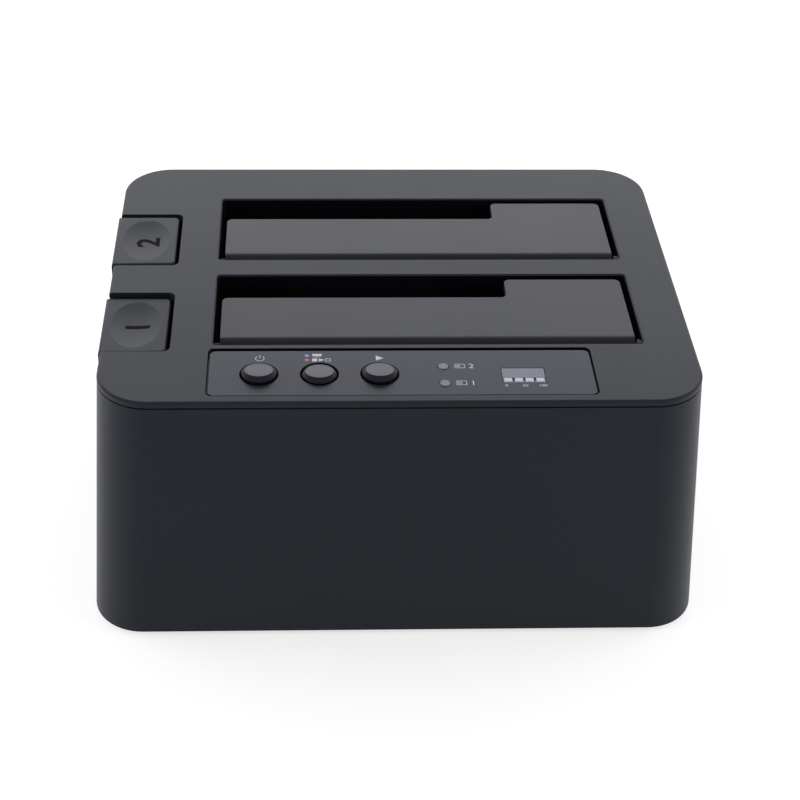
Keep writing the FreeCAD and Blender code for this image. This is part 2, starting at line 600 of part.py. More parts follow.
def make_bottom_cover():
    """Floor plate with screw bosses, board standoffs, lever ears, foot seats and vents."""
    body = new_body("bottom_cover")
    plate(body, ("0", "0", "foot_height"),
          "%s - 2 * case_wall - 2 * shell_clearance" % FOOT_WIDTH,
          "%s - 2 * case_wall - 2 * shell_clearance" % FOOT_DEPTH, "floor_thickness",
          "corner_radius - case_wall - shell_clearance")
    boss = post(body, (COLUMN_X, COLUMN_Y, FLOOR_TOP), "column_radius + 1", "boss_height")
    counterbore = drill_down(body, (COLUMN_X, COLUMN_Y, "foot_height"),
                             "screw_head_radius + screw_clearance",
                             "screw_head_height + screw_clearance", upwards=True)
    hole = drill_down(body, (COLUMN_X, COLUMN_Y, "foot_height"), "screw_radius + screw_clearance",
                      "floor_thickness + boss_height", upwards=True)
    seat = drill_down(body, ("foot_across", "foot_along", "foot_height"),
                      "foot_radius + screw_clearance", "foot_seat_depth", upwards=True)
    mirror_both_ways(body, [boss, counterbore, hole, seat])
    for spot in BOARD_CORNERS:
        if spot in SCREWED_CORNERS:
            post(body, spot + (FLOOR_TOP,), "standoff_radius", "board_standoff")
            drill_down(body, spot + (BOARD_UNDER,), "small_screw_radius", "board_standoff")
        else:
            plate(body, spot + (FLOOR_TOP,), "2 * standoff_radius", "standoff_radius",
                  "board_standoff")
    ear_gap = "(lever_width / 2 + lever_side_clearance)"
    for stem_y in STEM_Y:
        for ear_y in ("%s - %s - ear_thickness" % (stem_y, ear_gap),
                      "%s + %s" % (stem_y, ear_gap)):
            block(body, "Additive", ("%s - lever_hub_radius" % LEVER_X, ear_y, FLOOR_TOP),
                  ("2 * lever_hub_radius", "ear_thickness",
                   "lever_pivot_height - %s + ear_cap" % FLOOR_TOP))
        rod(body, "Subtractive",
            (LEVER_X, "%s - %s - ear_thickness - 1" % (stem_y, ear_gap), "lever_pivot_height"),
            "y", "lever_pin_radius + lever_running_fit",
            "2 * %s + 2 * ear_thickness + 2" % ear_gap)
    vent_start = "(-vent_pitch * (vent_count - 1) / 2)"
    for vent_y in ("-foot_along / 2", "foot_along / 2"):
        vent = cut_down(body, (vent_start, vent_y, FLOOR_TOP), "vent_width", "vent_length",
                        "floor_thickness")
        repeat_along(body, "X_Axis", [vent], "vent_pitch", "vent_count")
    doc.recompute()
    ear_top = number("lever_pivot_height + ear_cap")
    round_edges(body, lambda edge, middle: near(middle.z, ear_top) and near(
        abs(middle.x - number(LEVER_X)), number("lever_hub_radius")), "lever_hub_radius / 2",
        "Chamfer")
    return body


def make_rubber_feet():
    body = new_body("rubber_feet")
    foot = post(body, ("foot_across", "foot_along", "0"), "foot_radius",
                "foot_height + foot_seat_depth")
    mirror_both_ways(body, [foot])
    round_edges(body, lambda edge, middle: near(middle.z, 0), "foot_chamfer", "Chamfer")
    return body


def make_screws(label, spots, head_height_at, sizes, points_up):
    """A group of pan-head screws, one solid at each (x, y)."""
    shank, head, head_height, length = sizes
    body = new_body(label)
    for spot_x, spot_y in spots:
        if points_up:
            post(body, (spot_x, spot_y, head_height_at), head, head_height)
            post(body, (spot_x, spot_y, "%s + %s" % (head_height_at, head_height)), shank, length)
        else:
            post(body, (spot_x, spot_y, head_height_at), head, head_height)
            post(body, (spot_x, spot_y, "%s - %s" % (head_height_at, length)), shank, length)
    return body


# ---------------------------------------------------------------- drive bays

def make_bay_well(label, slot_front):
    """Open-topped well that guides a drive down onto its connector."""
    body = new_body(label, SLOT_X, slot_front, "0")
    middle_y = "(slot_depth / 2)"
    half = "(slot_width / 2)"
    well_bottom = "(well_floor_top - well_floor)"
    plate(body, ("0", middle_y, well_bottom), "slot_width + 2 * well_wall",
          "slot_depth + 2 * well_wall", "%s - %s" % (LID_UNDER, well_bottom),
          "slot_corner + well_wall")
    cut_down(body, ("0", middle_y, LID_UNDER), "slot_width", "slot_depth",
             "%s - well_floor_top" % LID_UNDER, "slot_corner")
    for sign in (-1, 1):
        for leg_y in ("well_leg_margin", "slot_depth - well_leg_margin"):
            plate(body, ("%d * (%s - well_leg_inset)" % (sign, half), leg_y, FLOOR_TOP),
                  "well_leg", "well_leg", "%s - %s" % (well_bottom, FLOOR_TOP))
    block(body, "Additive", ("-%s + 2 * lug_width" % half, "0",
                             "%s - door_thickness - stop_gap - 2 * stop_ledge"
                             " + hinge_sink" % HINGE_HEIGHT),
          ("slot_width - 4 * lug_width", "stop_ledge", "2 * stop_ledge"))
    lug_room = "(lug_drop + door_end_gap / 4)"
    block(body, "Subtractive",
          ("-%s - well_wall - 1" % half, "-shell_clearance", "%s - %s" % (LID_UNDER, lug_room)),
          ("slot_width + 2 * well_wall + 2", "lug_depth + 2 * shell_clearance",
           "%s + 1" % lug_room))
    connector_x = "(%s - %s)" % (CONNECTOR_X, SLOT_X)
    cut_down(body, (connector_x, CONNECTOR_Y, "well_floor_top"),
             "connector_width + 2 * connector_clearance",
             "connector_depth + 2 * connector_clearance", "well_floor")
    lever_x = "(%s - %s)" % (LEVER_X, SLOT_X)
    block(body, "Subtractive",
          ("-%s - well_wall - 1" % half, "%s - lever_width / 2 - 2 * lever_side_clearance"
           % LEVER_Y, "%s - 1" % well_bottom),
          ("%s + lever_reach + 1 + %s + well_wall + 1" % (lever_x, half),
           "lever_width + 4 * lever_side_clearance", "1 + well_floor + lever_slot_rise"))
    for sign in (-1, 1):
        corner_x = "-%s" % half if sign < 0 else "%s - guide_rib_height" % half
        for rib_y in ("slot_depth / 2", "slot_depth - 2 * guide_rib_width"):
            block(body, "Additive", (corner_x, rib_y, "well_floor_top + 4 * guide_rib_width"),
                  ("guide_rib_height", "guide_rib_width",
                   "%s - lug_drop - well_floor_top - 8 * guide_rib_width" % LID_UNDER))
    return body


def make_bay_door(label, slot_front):
    """Flap hinged along its front edge; its back corner is cut away for a 2.5 inch drive."""
    body = new_body(label, SLOT_X, "%s + hinge_inset" % slot_front, HINGE_HEIGHT)
    top = "hinge_sink"
    under = "(hinge_sink - door_thickness)"
    back = "(slot_depth - door_back_gap - hinge_inset)"
    half = "(slot_width / 2 - door_end_gap)"
    sketch = new_sketch(body, "YZ_Plane")
    draw_door_profile(sketch, back, top, under, "(door_front_gap + door_roll - hinge_inset)",
                      "door_roll")
    extrude(body, "Pad", sketch, "2 * %s" % half, SideType="Symmetric")
    notch_right = "(notch_length - slot_width / 2)"
    notch_front = "(slot_depth - notch_opening - hinge_inset)"
    block(body, "Subtractive", ("-%s - 1" % half, notch_front, "%s - 1" % under),
          ("%s + %s + 1" % (notch_right, half), "notch_opening", "door_thickness + 2"))
    round_edges(body, lambda edge, middle: is_vertical(edge) and middle.y > 0, "door_corner")
    for place in (-1, 0, 1):
        block(body, "Additive",
              ("%d * door_rib_spacing - door_rib_width / 2" % place, "lug_depth",
               "%s - door_rib_height" % under),
              ("door_rib_width", "%s - 2 * door_corner - lug_depth" % notch_front,
               "door_rib_height"))
    for start in ("-%s - door_end_gap - hinge_pin_reach" % half, half):
        rod(body, "Additive", (start, "0", "0"), "x", "hinge_pin_radius",
            "door_end_gap + hinge_pin_reach")
    return body


def draw_door_profile(sketch, back, top, under, roll_centre, roll):
    """Flat flap whose front edge rolls down on a round as thick as the flap."""
    centre = FreeCAD.Vector(number(roll_centre), number("%s - %s" % (top, roll)), 0)
    radius = number(roll)
    roll_end = math.pi - math.asin((number(under) - centre.y) / radius)
    arc = sketch.addGeometry(Part.ArcOfCircle(
        Part.Circle(centre, FreeCAD.Vector(0, 0, 1), radius), math.pi / 2, roll_end))
    spots = [FreeCAD.Vector(centre.x + radius * math.cos(roll_end), number(under), 0),
             FreeCAD.Vector(number(back), number(under), 0),
             FreeCAD.Vector(number(back), number(top), 0),
             FreeCAD.Vector(centre.x, number(top), 0)]
    lower, end, upper = [sketch.addGeometry(Part.LineSegment(first, last))
                         for first, last in zip(spots, spots[1:])]
    sketch.addConstraint(Sketcher.Constraint("Coincident", arc, 2, lower, 1))
    sketch.addConstraint(Sketcher.Constraint("Coincident", lower, 2, end, 1))
    sketch.addConstraint(Sketcher.Constraint("Coincident", end, 2, upper, 1))
    sketch.addConstraint(Sketcher.Constraint("Tangent", upper, 2, arc, 1))
    for line, kind in ((lower, "Horizontal"), (end, "Vertical"), (upper, "Horizontal")):
        sketch.addConstraint(Sketcher.Constraint(kind, line))
    place_point(sketch, end, 1, back, under)
    constrain(sketch, top, "DistanceY", -1, 1, end, 2)
    constrain(sketch, roll_centre, "DistanceX", -1, 1, arc, 3)
    constrain(sketch, roll, "Radius", arc)


def coil_points(radius, rise, turns, chords=10):
    """Points along a helix about +Z that starts at +X."""
    steps = int(turns * chords)
    return [FreeCAD.Vector(radius * math.cos(2 * math.pi * step / chords),
                           radius * math.sin(2 * math.pi * step / chords),
                           rise * step / chords) for step in range(steps + 1)]


# A square wire that lies tilted reaches this share of its thickness from its middle line.
WIRE_REACH = 0.7
# The section's first side is square to this direction, which no chord of a spring follows.
ASIDE = FreeCAD.Vector(0.3, 0.2, 1)


def wire_solid(points, thickness):
    """Square wire bent along straight chords, its section carried from chord to chord."""
    rings = []
    side = None
    for index, point in enumerate(points):
        before = points[max(index - 1, 0)]
        after = points[min(index + 1, len(points) - 1)]
        tangent = (after - before).normalize()
        side = side or tangent.cross(ASIDE).normalize()
        side = (side - tangent * side.dot(tangent)).normalize()
        other = tangent.cross(side)
        rings.append([point + (side * along + other * across) * (thickness / 2)
                      for along, across in ((1, 1), (-1, 1), (-1, -1), (1, -1))])
    faces = [Part.Face(Part.makePolygon(ring + ring[:1])) for ring in (rings[0], rings[-1])]
    for ring, following in zip(rings, rings[1:]):
        for corner in range(4):
            spots = (ring[corner], ring[corner - 1], following[corner - 1], following[corner])
            for triangle in ((0, 1, 2), (0, 2, 3)):
                outline = [spots[index] for index in triangle]
                faces.append(Part.Face(Part.makePolygon(outline + outline[:1])))
    solid = Part.makeSolid(Part.makeShell(faces))
    if solid.Volume < 0:
        solid.reverse()
    return solid


def new_spring(label, points, thickness, at):
    spring = doc.addObject("Part::Feature", label)
    spring.Label = label
    spring.Shape = wire_solid(points, thickness)
    for axis, formula in zip("xyz", at):
        bind(spring, "Placement.Base." + axis, formula)
    return spring


def make_door_spring(label, slot_front):
    """Torsion spring on the right-hand hinge stub: one leg under the door, one on the lid."""
    wire, radius, rise, turns, reach, foot = (
        number("door_spring_" + size)
        for size in ("wire", "radius", "rise", "turns", "leg", "foot"))
    coil = [FreeCAD.Vector(point.z, -point.y, -point.x)
            for point in coil_points(radius, rise, turns)]
    leg = [FreeCAD.Vector(-foot, reach, -radius), FreeCAD.Vector(-wire, reach, -radius),
           FreeCAD.Vector(0, reach - radius / 2, -radius), FreeCAD.Vector(0, radius, -radius)]
    rest = coil[-1] + FreeCAD.Vector(0, -radius, 0)
    return new_spring(label, leg + coil + [rest], wire,
                      ("%s + slot_width / 2 - door_end_gap + door_spring_gap" % SLOT_X,
                       "%s + hinge_inset" % slot_front, HINGE_HEIGHT))


# ---------------------------------------------------------------- eject mechanism

def make_eject_button(label, cutout_y, stem_y, sink):
    """Push pad that wraps over the left edge, with a long stem down to the lever."""
    top = "(body_height - %s)" % sink
    body = new_body(label, LEFT, cutout_y, top)
    width = "(cutout_length - eject_gap + eject_proud)"
    depth = "(cutout_width - 2 * eject_gap)"
    sketch = new_sketch(body, "XY_Plane", ("%s / 2 - eject_proud" % width, "0",
                                           "-eject_thickness"))
    draw_rectangle(sketch, width, depth)
    extrude(body, "Pad", sketch, "eject_thickness")
    block(body, "Additive", ("-eject_proud", "-%s / 2" % depth, "-skirt_length"),
          ("channel_depth - skirt_clearance + eject_proud", depth, "skirt_length"))
    round_edges(body, lambda edge, middle: is_vertical(edge) and middle.x > 1, "eject_corner")
    round_edges(body, lambda edge, middle: near(middle.z, 0), "eject_edge_round")
    scoop_thumb_rest(body, "(%s / 2 - eject_proud)" % width)
    stem_shift = "(%s - %s)" % (stem_y, cutout_y)
    stem_end = "(lever_pivot_height + lever_arm_thickness / 2 + stem_clearance)"
    post(body, ("stem_inset", stem_shift, "%s - %s" % (stem_end, top)), "stem_radius",
         "%s - %s - eject_thickness" % (top, stem_end))
    round_edges(body, lambda edge, middle: near(middle.z, number("%s - %s" % (stem_end, top))),
                "stem_radius / 2", "Chamfer")
    post(body, ("stem_inset", stem_shift,
                "shelf_height - stem_clearance - collar_height - %s" % top),
         "collar_radius", "collar_height")
    return body


def scoop_thumb_rest(body, centre_x):
    """Cut an oval dish with a barrel whose two radii follow from the dish's length and width."""
    across = "((dish_width * dish_width / 4 + dish_depth * dish_depth) / (2 * dish_depth))"
    along = "((dish_length * dish_length / 4 + dish_depth * dish_depth) / (2 * dish_depth))"
    sketch = new_sketch(body, "YZ_Plane", (centre_x, "0", "%s - dish_depth" % across))
    radius = number(along)
    rise = number("%s - %s" % (along, across))
    reach = math.sqrt(radius * radius - rise * rise)
    end_angle = math.atan2(-rise, reach)
    centre = FreeCAD.Vector(0, rise, 0)
    circle = Part.Circle(centre, FreeCAD.Vector(0, 0, 1), radius)
    arc = sketch.addGeometry(Part.ArcOfCircle(circle, -math.pi - end_angle, end_angle))
    chord = sketch.addGeometry(Part.LineSegment(FreeCAD.Vector(reach, 0, 0),
                                                FreeCAD.Vector(-reach, 0, 0)))
    sketch.addConstraint(Sketcher.Constraint("Coincident", arc, 2, chord, 1))
    sketch.addConstraint(Sketcher.Constraint("Coincident", chord, 2, arc, 1))
    sketch.addConstraint(Sketcher.Constraint("Horizontal", chord))
    sketch.addConstraint(Sketcher.Constraint("PointOnObject", chord, 1, -1))
    sketch.addConstraint(Sketcher.Constraint("PointOnObject", arc, 3, -2))
    constrain(sketch, along, "Radius", arc)
    constrain(sketch, "%s - %s" % (along, across), "DistanceY", -1, 1, arc, 3)
    dish = body.newObject("PartDesign::Groove", "Dish")
    dish.Profile = sketch
    dish.ReferenceAxis = (sketch, ["H_Axis"])
    dish.Angle = 360
    return dish


def make_eject_spring(label, stem_y, sink):
    """Compression spring between the guide shelf and the underside of the push pad."""
    base = "(shelf_height + shelf_thickness + %s * eject_spring_wire)" % WIRE_REACH
    length = number("body_height - %s - eject_thickness - shelf_height - shelf_thickness"
                    " - 2 * %s * eject_spring_wire" % (sink, WIRE_REACH))
    turns = number("eject_spring_turns")
    points = coil_points(number("eject_spring_radius"), length / turns, turns)
    return new_spring(label, points, number("eject_spring_wire"), (STEM_X, stem_y, base))


def make_eject_lever(label, stem_y):
    """Rocker: the stem pushes its left arm down and its right arm lifts the drive."""
    body = new_body(label, LEVER_X, stem_y, "lever_pivot_height")
    half = "(lever_arm_thickness / 2)"
    left_tip = "(stem_inset - lever_overhang - lever_pivot_offset)"
    lift = "(well_floor_top - stem_clearance - lever_pivot_height)"
    sketch = new_sketch(body, "XZ_Plane")
    draw_polygon(sketch, [(left_tip, "-" + half), ("lever_reach", "-" + half),
                          ("lever_reach", lift), ("lever_reach - lever_pad_length", lift),
                          ("lever_reach - lever_pad_length - lever_pad_slope", half), (left_tip, half)])
    extrude(body, "Pad", sketch, "lever_width", SideType="Symmetric")
    rod(body, "Additive", ("0", "-lever_width / 2", "0"), "y", "lever_hub_radius", "lever_width")
    rod(body, "Subtractive", ("0", "-lever_width / 2 - 1", "0"), "y",
        "lever_pin_radius + lever_running_fit", "lever_width + 2")
    return body


def make_lever_pins():
    body = new_body("lever_pins")
    half = "(lever_width / 2 + lever_side_clearance + ear_thickness)"
    for stem_y in STEM_Y:
        rod(body, "Additive", (LEVER_X, "%s - %s" % (stem_y, half), "lever_pivot_height"), "y",
            "lever_pin_radius", "2 * %s" % half)
    return body


# ---------------------------------------------------------------- control panel

def make_control_panel():
    """Thin inlay that lies in the lid's recess."""
    body = new_body("control_panel")
    plate(body, (PANEL_X, PANEL_Y, PANEL_UNDER), "panel_width", "panel_depth", "panel_thickness",
          "panel_corner")
    cut_panel_holes(body)
    return body


def make_push_button(label, button_x, proud):
    """Round key: bevelled cap, retaining flange under the lid and a stem into its switch."""
    body = new_body(label, button_x, BUTTON_Y, "body_height")
    flange_top = "(-lid_thickness - button_stem_clearance)"
    flange_under = "(%s - flange_thickness)" % flange_top
    stem_end = "(-lid_thickness - control_board_drop + switch_height - stem_engagement)"
    profile = [("0", stem_end), ("button_stem_radius", stem_end),
               ("button_stem_radius", flange_under), ("flange_radius", flange_under),
               ("flange_radius", flange_top), ("button_radius", flange_top),
               ("button_radius", "%s - button_bevel" % proud), ("button_top_radius", proud),
               ("0", proud)]
    sketch = new_sketch(body, "XZ_Plane")
    draw_polygon(sketch, profile)
    turned = body.newObject("PartDesign::Revolution", "Turned")
    turned.Profile = sketch
    turned.ReferenceAxis = (sketch, ["V_Axis"])
    turned.Angle = 360
    return body


def make_led_lens(label, led_y):
    """Light pipe from the indicator on the control board up through the panel."""
    body = new_body(label, LED_X, led_y, "0")
    foot = "(%s + lens_gap)" % CONTROL_TOP
    post(body, ("0", "0", foot), "led_radius", "body_height - panel_sink + led_proud - %s" % foot)
    flange = "2 * (led_radius + lens_flange)"
    plate(body, ("0", "0", "%s - lens_flange_thickness" % LID_UNDER), flange, flange,
          "lens_flange_thickness")
    return body


def make_progress_window():
    """Clear block over the four progress bars, held by a flange under the lid."""
    body = new_body("progress_window", WINDOW_X, WINDOW_Y, "0")
    foot = "(%s + lens_gap)" % CONTROL_TOP
    top = "(body_height - panel_sink)"
    plate(body, ("0", "0", foot), "window_width", "window_depth", "%s - %s" % (top, foot))
    plate(body, ("0", "0", "%s - lens_flange_thickness" % LID_UNDER),
          "window_width + 2 * lens_flange", "window_depth + 2 * lens_flange",
          "lens_flange_thickness")
    cut_down(body, ("0", "bar_depth / 2 - window_depth / 2 + bar_thickness", top),
             "3 * bar_pitch + bar_width", "bar_depth", "bar_thickness")
    return body


def make_progress_bars():
    body = new_body("progress_bars", WINDOW_X, WINDOW_Y, "body_height - panel_sink")
    bar = plate(body, ("-1.5 * bar_pitch", "bar_depth / 2 - window_depth / 2 + bar_thickness",
                       "-bar_thickness"),
                "bar_width", "bar_depth", "bar_thickness + bar_proud")
    repeat_along(body, "X_Axis", [bar], "bar_pitch", "4")
    return body


# ---------------------------------------------------------------- boards and connectors

def make_main_board():
    body = new_body("main_board")
    plate(body, (BOARD_X, BOARD_Y, BOARD_UNDER), "board_width", "board_depth", "board_thickness")
    for spot in SCREWED_CORNERS:
        drill_down(body, spot + (BOARD_TOP,), "board_hole_radius", "board_thickness")
    return body


def make_control_board():
    body = new_body("control_board")
    plate(body, (PANEL_X, BUTTON_Y, CONTROL_UNDER), "control_board_width",
          "control_board_depth", "board_thickness")
    for post_x in CONTROL_POSTS:
        drill_down(body, (post_x, BUTTON_Y, CONTROL_TOP), "small_screw_radius + screw_clearance",
                   "board_thickness")
    return body


def make_push_switches():
    body = new_body("push_switches", BUTTON_XS[0], BUTTON_Y, CONTROL_TOP)
    case = plate(body, ("0", "0", "0"), "switch_size", "switch_size", "switch_height")
    bore_side = "2 * (button_stem_radius + button_stem_clearance)"
    bore = cut_down(body, ("0", "0", "switch_height"), bore_side, bore_side, "switch_bore")
    repeat_along(body, "X_Axis", [case, bore], "button_pitch", "3")
    return body


def make_indicator_leds():
    body = new_body("indicator_leds")
    for led_y in LED_YS:
        plate(body, (LED_X, led_y, CONTROL_TOP), "2 * led_radius", "led_radius",
              "indicator_height")
    for place in range(4):
        plate(body, ("%s + (%d - 1.5) * bar_pitch" % (WINDOW_X, place), WINDOW_Y, CONTROL_TOP),
              "bar_width - window_clearance", "bar_depth", "indicator_height")
    return body


def make_drive_connector(label, slot_front):
    """Combined data and power receptacle with two L-shaped mouths and guide horns."""
    body = new_body(label, CONNECTOR_X, "%s + %s" % (slot_front, CONNECTOR_Y), BOARD_TOP)
    foot = "connector_foot_height"
    plate(body, ("0", "0", "0"), "connector_width", "connector_depth", foot)
    plate(body, ("0", "0", foot), "connector_width - 2 * connector_shoulder",
          "connector_depth - connector_clearance", "connector_height - %s" % foot)
    for sign in (-1, 1):
        plate(body, ("%d * (connector_width - horn_width) / 2" % sign, "0", foot), "horn_width",
              "horn_depth", "connector_height - %s - horn_drop" % foot)
    for shift, length in (("-power_mouth_shift", "power_mouth_length"),
                          ("data_mouth_shift", "data_mouth_length")):
        cut_down(body, (shift, "0", "connector_height"), length, "mouth_width", "mouth_depth")
        cut_down(body, ("%s - (%s - key_size) / 2" % (shift, length),
                        "(mouth_width + key_size) / 2", "connector_height"), "key_size",
                 "key_size", "mouth_depth")
    return body


def make_port(label, opening, tongue, depth):
    """Rear receptacle whose mouth is nearly flush with the back of the case."""
    inset, width, height = PORTS[label]
    body = new_body(label, "body_width / 2 - %s" % inset, PORT_FACE, BOARD_TOP)
    block(body, "Additive", ("-%s / 2" % width, "-port_depth", "0"),
          (width, "port_depth", height))
    opening_width, opening_height = opening
    block(body, "Subtractive",
          ("-%s / 2" % opening_width, "-%s" % depth, "(%s - %s) / 2" % (height, opening_height)),
          (opening_width, "%s + 1" % depth, opening_height))
    tongue_width, tongue_height = tongue
    block(body, "Additive",
          ("-%s / 2" % tongue_width, "-%s" % depth, "(%s - %s) / 2" % (height, tongue_height)),
          (tongue_width, "%s - tongue_setback" % depth, tongue_height))
    return body


def make_power_jack():
    inset, width, height = PORTS["power_jack"]
    body = new_body("power_jack", "body_width / 2 - %s" % inset, PORT_FACE, BOARD_TOP)
    block(body, "Additive", ("-%s / 2" % width, "-port_depth", "0"),
          (width, "port_depth", height))
    centre = "(%s / 2)" % height
    rod(body, "Subtractive", ("0", "-power_jack_depth", centre), "y", "power_jack_radius",
        "power_jack_depth + 1")
    rod(body, "Additive", ("0", "-power_jack_depth", centre), "y", "power_pin_radius",
        "power_jack_depth - tongue_setback")
    round_edges(body, lambda edge, middle: is_along_y(edge) and middle.z > number(centre)
                and near(abs(middle.x), number("%s / 2" % width)), "power_jack_shoulder")
    return body


def is_along_y(edge):
    if len(edge.Vertexes) != 2:
        return False
    first, last = edge.Vertexes[0].Point, edge.Vertexes[1].Point
    return abs(first.x - last.x) < 1e-4 and abs(first.z - last.z) < 1e-4


def make_cable_headers():
    """Board headers at the two ends of the ribbon cable."""
    body = new_body("cable_headers")
    plate(body, (HEADER_X, HEADER_Y, BOARD_TOP), "header_width", "header_depth", "header_height")
    plate(body, (HEADER_X, HEADER_Y, "%s - header_height" % CONTROL_UNDER), "header_width",
          "header_depth", "header_height")
    return body


def make_ribbon_cable():
    """Flat cable that joins the control board's header to the main board's."""
    body = new_body("ribbon_cable")
    plate(body, (HEADER_X, HEADER_Y, "%s + header_height" % BOARD_TOP), "ribbon_width",
          "ribbon_thickness", "%s - %s - 2 * header_height" % (CONTROL_UNDER, BOARD_TOP))
    return body


def make_board_chips():
    """Bridge chip and memory at the front of the main board, and a chip beside each connector."""
    body = new_body("board_chips")
    front_row = "(%s - board_depth / 2 + bridge_chip / 2 + 2 * board_hole_inset)" % BOARD_Y
    bridge_x = "(%s - chip_edge_gap - bridge_chip / 2)" % BOARD_RIGHT
    memory_x = "(%s - bridge_chip / 2 - chip_spacing - memory_chip / 2)" % bridge_x
    spots = [(bridge_x, front_row, "bridge_chip"), (memory_x, front_row, "memory_chip")]
    for slot_front in SLOT_FRONTS:
        behind = "(%s + (%s - connector_depth / 2) / 2)" % (slot_front, CONNECTOR_Y)
        spots.append(("%s + connector_width / 2" % CONNECTOR_X, behind, "bay_chip"))
    for chip_x, chip_y, side in spots:
        plate(body, (chip_x, chip_y, BOARD_TOP), side, side, "chip_thickness")
    return body


def make_capacitors():
    body = new_body("capacitors")
    can = post(body, ("%s - board_width / 2 + can_inset" % BOARD_X,
                      "%s - board_depth / 2 + can_front" % BOARD_Y, BOARD_TOP),
               "can_radius", "can_height")
    repeat_along(body, "X_Axis", [can], "can_pitch", "3")
    return body


# ---------------------------------------------------------------- the whole product

COLUMN_SPOTS = [("%d * %s" % (x_sign, COLUMN_X), "%d * %s" % (y_sign, COLUMN_Y))
                for x_sign in (-1, 1) for y_sign in (-1, 1)]
CASE_SCREW = ("screw_radius", "screw_head_radius", "screw_head_height", "screw_length")
SMALL_SCREW = ("(small_screw_radius - small_screw_clearance)", "small_head_radius",
               "small_head_height", "(small_screw_length - small_screw_spare)")

pieces = [
    make_main_housing(),
    make_top_cover(),
    make_bottom_cover(),
    make_rubber_feet(),
    make_screws("case_screws", COLUMN_SPOTS, "foot_height + screw_clearance", CASE_SCREW, True),
    make_control_panel(),
    make_progress_window(),
    make_progress_bars(),
    make_main_board(),
    make_control_board(),
    make_push_switches(),
    make_indicator_leds(),
    make_cable_headers(),
    make_ribbon_cable(),
    make_board_chips(),
    make_capacitors(),
    make_screws("board_screws", SCREWED_CORNERS, BOARD_TOP, SMALL_SCREW, False),
    make_screws("panel_board_screws", [(post_x, BUTTON_Y) for post_x in CONTROL_POSTS],
                "%s - small_head_height" % CONTROL_UNDER, SMALL_SCREW, True),
    make_lever_pins(),
    make_power_jack(),
    make_port("usb_port", ("usb_opening_width", "usb_opening_height"),
              ("usb_tongue_width", "usb_tongue_height"), "usb_depth"),
    make_port("esata_port", ("esata_opening_width", "esata_opening_height"),
              ("esata_tongue_width", "esata_tongue_height"), "esata_depth"),
]
for bay in (0, 1):
    bay_name = str(bay + 1)
    pieces.append(make_bay_well("bay_well_" + bay_name, SLOT_FRONTS[bay]))
    pieces.append(make_bay_door("bay_door_" + bay_name, SLOT_FRONTS[bay]))
    pieces.append(make_door_spring("door_spring_" + bay_name, SLOT_FRONTS[bay]))
    pieces.append(make_drive_connector("drive_connector_" + bay_name, SLOT_FRONTS[bay]))
    pieces.append(make_eject_button("eject_button_" + bay_name, CUTOUT_YS[bay], STEM_Y[bay],
                                    EJECT_SINKS[bay]))
    pieces.append(make_eject_spring("eject_spring_" + bay_name, STEM_Y[bay],
                                    EJECT_SINKS[bay]))
    pieces.append(make_eject_lever("eject_lever_" + bay_name, STEM_Y[bay]))
    pieces.append(make_led_lens("led_lens_" + bay_name, LED_YS[bay]))
for button_name, button_x, proud in zip(("power_button", "mode_button", "start_button"),
                                        BUTTON_XS, ("button_proud", "middle_button_proud",
                                                    "button_proud")):
    pieces.append(make_push_button(button_name, button_x, proud))

doc.recompute()
for item in doc.Objects:
    if "Invalid" in item.State or "Error" in item.State:
        raise RuntimeError("%s (%s) failed to build" % (item.Name, item.Label))
for piece in pieces:
    if piece.Shape.isNull() or not piece.Shape.isValid():
        raise RuntimeError(piece.Label + " has no valid shape")
for piece in pieces:
    piece.Shape.exportStep(os.path.join("parts", piece.Label + ".step"))
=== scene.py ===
import json
import math

import bmesh
import bpy
from mathutils import Matrix, Vector
from mathutils.bvhtree import BVHTree


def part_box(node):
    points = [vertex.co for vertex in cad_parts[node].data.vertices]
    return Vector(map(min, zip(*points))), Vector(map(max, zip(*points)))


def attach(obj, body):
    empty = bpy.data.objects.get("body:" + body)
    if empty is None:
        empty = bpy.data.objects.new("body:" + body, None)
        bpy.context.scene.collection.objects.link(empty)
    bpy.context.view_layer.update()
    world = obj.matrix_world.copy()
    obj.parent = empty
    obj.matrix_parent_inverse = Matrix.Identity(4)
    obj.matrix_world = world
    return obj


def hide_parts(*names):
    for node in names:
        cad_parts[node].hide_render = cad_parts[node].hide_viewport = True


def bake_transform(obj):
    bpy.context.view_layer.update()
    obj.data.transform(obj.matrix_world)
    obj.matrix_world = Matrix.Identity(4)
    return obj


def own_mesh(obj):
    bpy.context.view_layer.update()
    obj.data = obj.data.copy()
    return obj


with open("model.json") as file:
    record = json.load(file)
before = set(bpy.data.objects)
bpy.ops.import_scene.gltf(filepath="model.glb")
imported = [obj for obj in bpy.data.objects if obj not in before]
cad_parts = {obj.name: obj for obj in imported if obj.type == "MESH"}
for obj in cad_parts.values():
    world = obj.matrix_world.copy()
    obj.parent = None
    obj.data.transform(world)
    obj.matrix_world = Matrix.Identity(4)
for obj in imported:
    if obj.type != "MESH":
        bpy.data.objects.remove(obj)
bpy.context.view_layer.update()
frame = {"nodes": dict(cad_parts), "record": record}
MM = 0.001
BODY_OF = {}
for body_name, members in frame["record"]["behaviour"]["bodies"].items():
    for member in members:
        BODY_OF[member] = body_name
SLOT_OF = {subpart["node"]: subpart["material_slot"] for subpart in frame["record"]["subparts"]}


# ---------------------------------------------------------------- shared shader groups

NOISE_MIDDLE = 0.5
STREAK_STRETCH = (1, 0.05, 1)
STREAK_GLOSS = 0.15
TRACK_WIDTH = 0.03
TRACK_LENGTH = 1.7


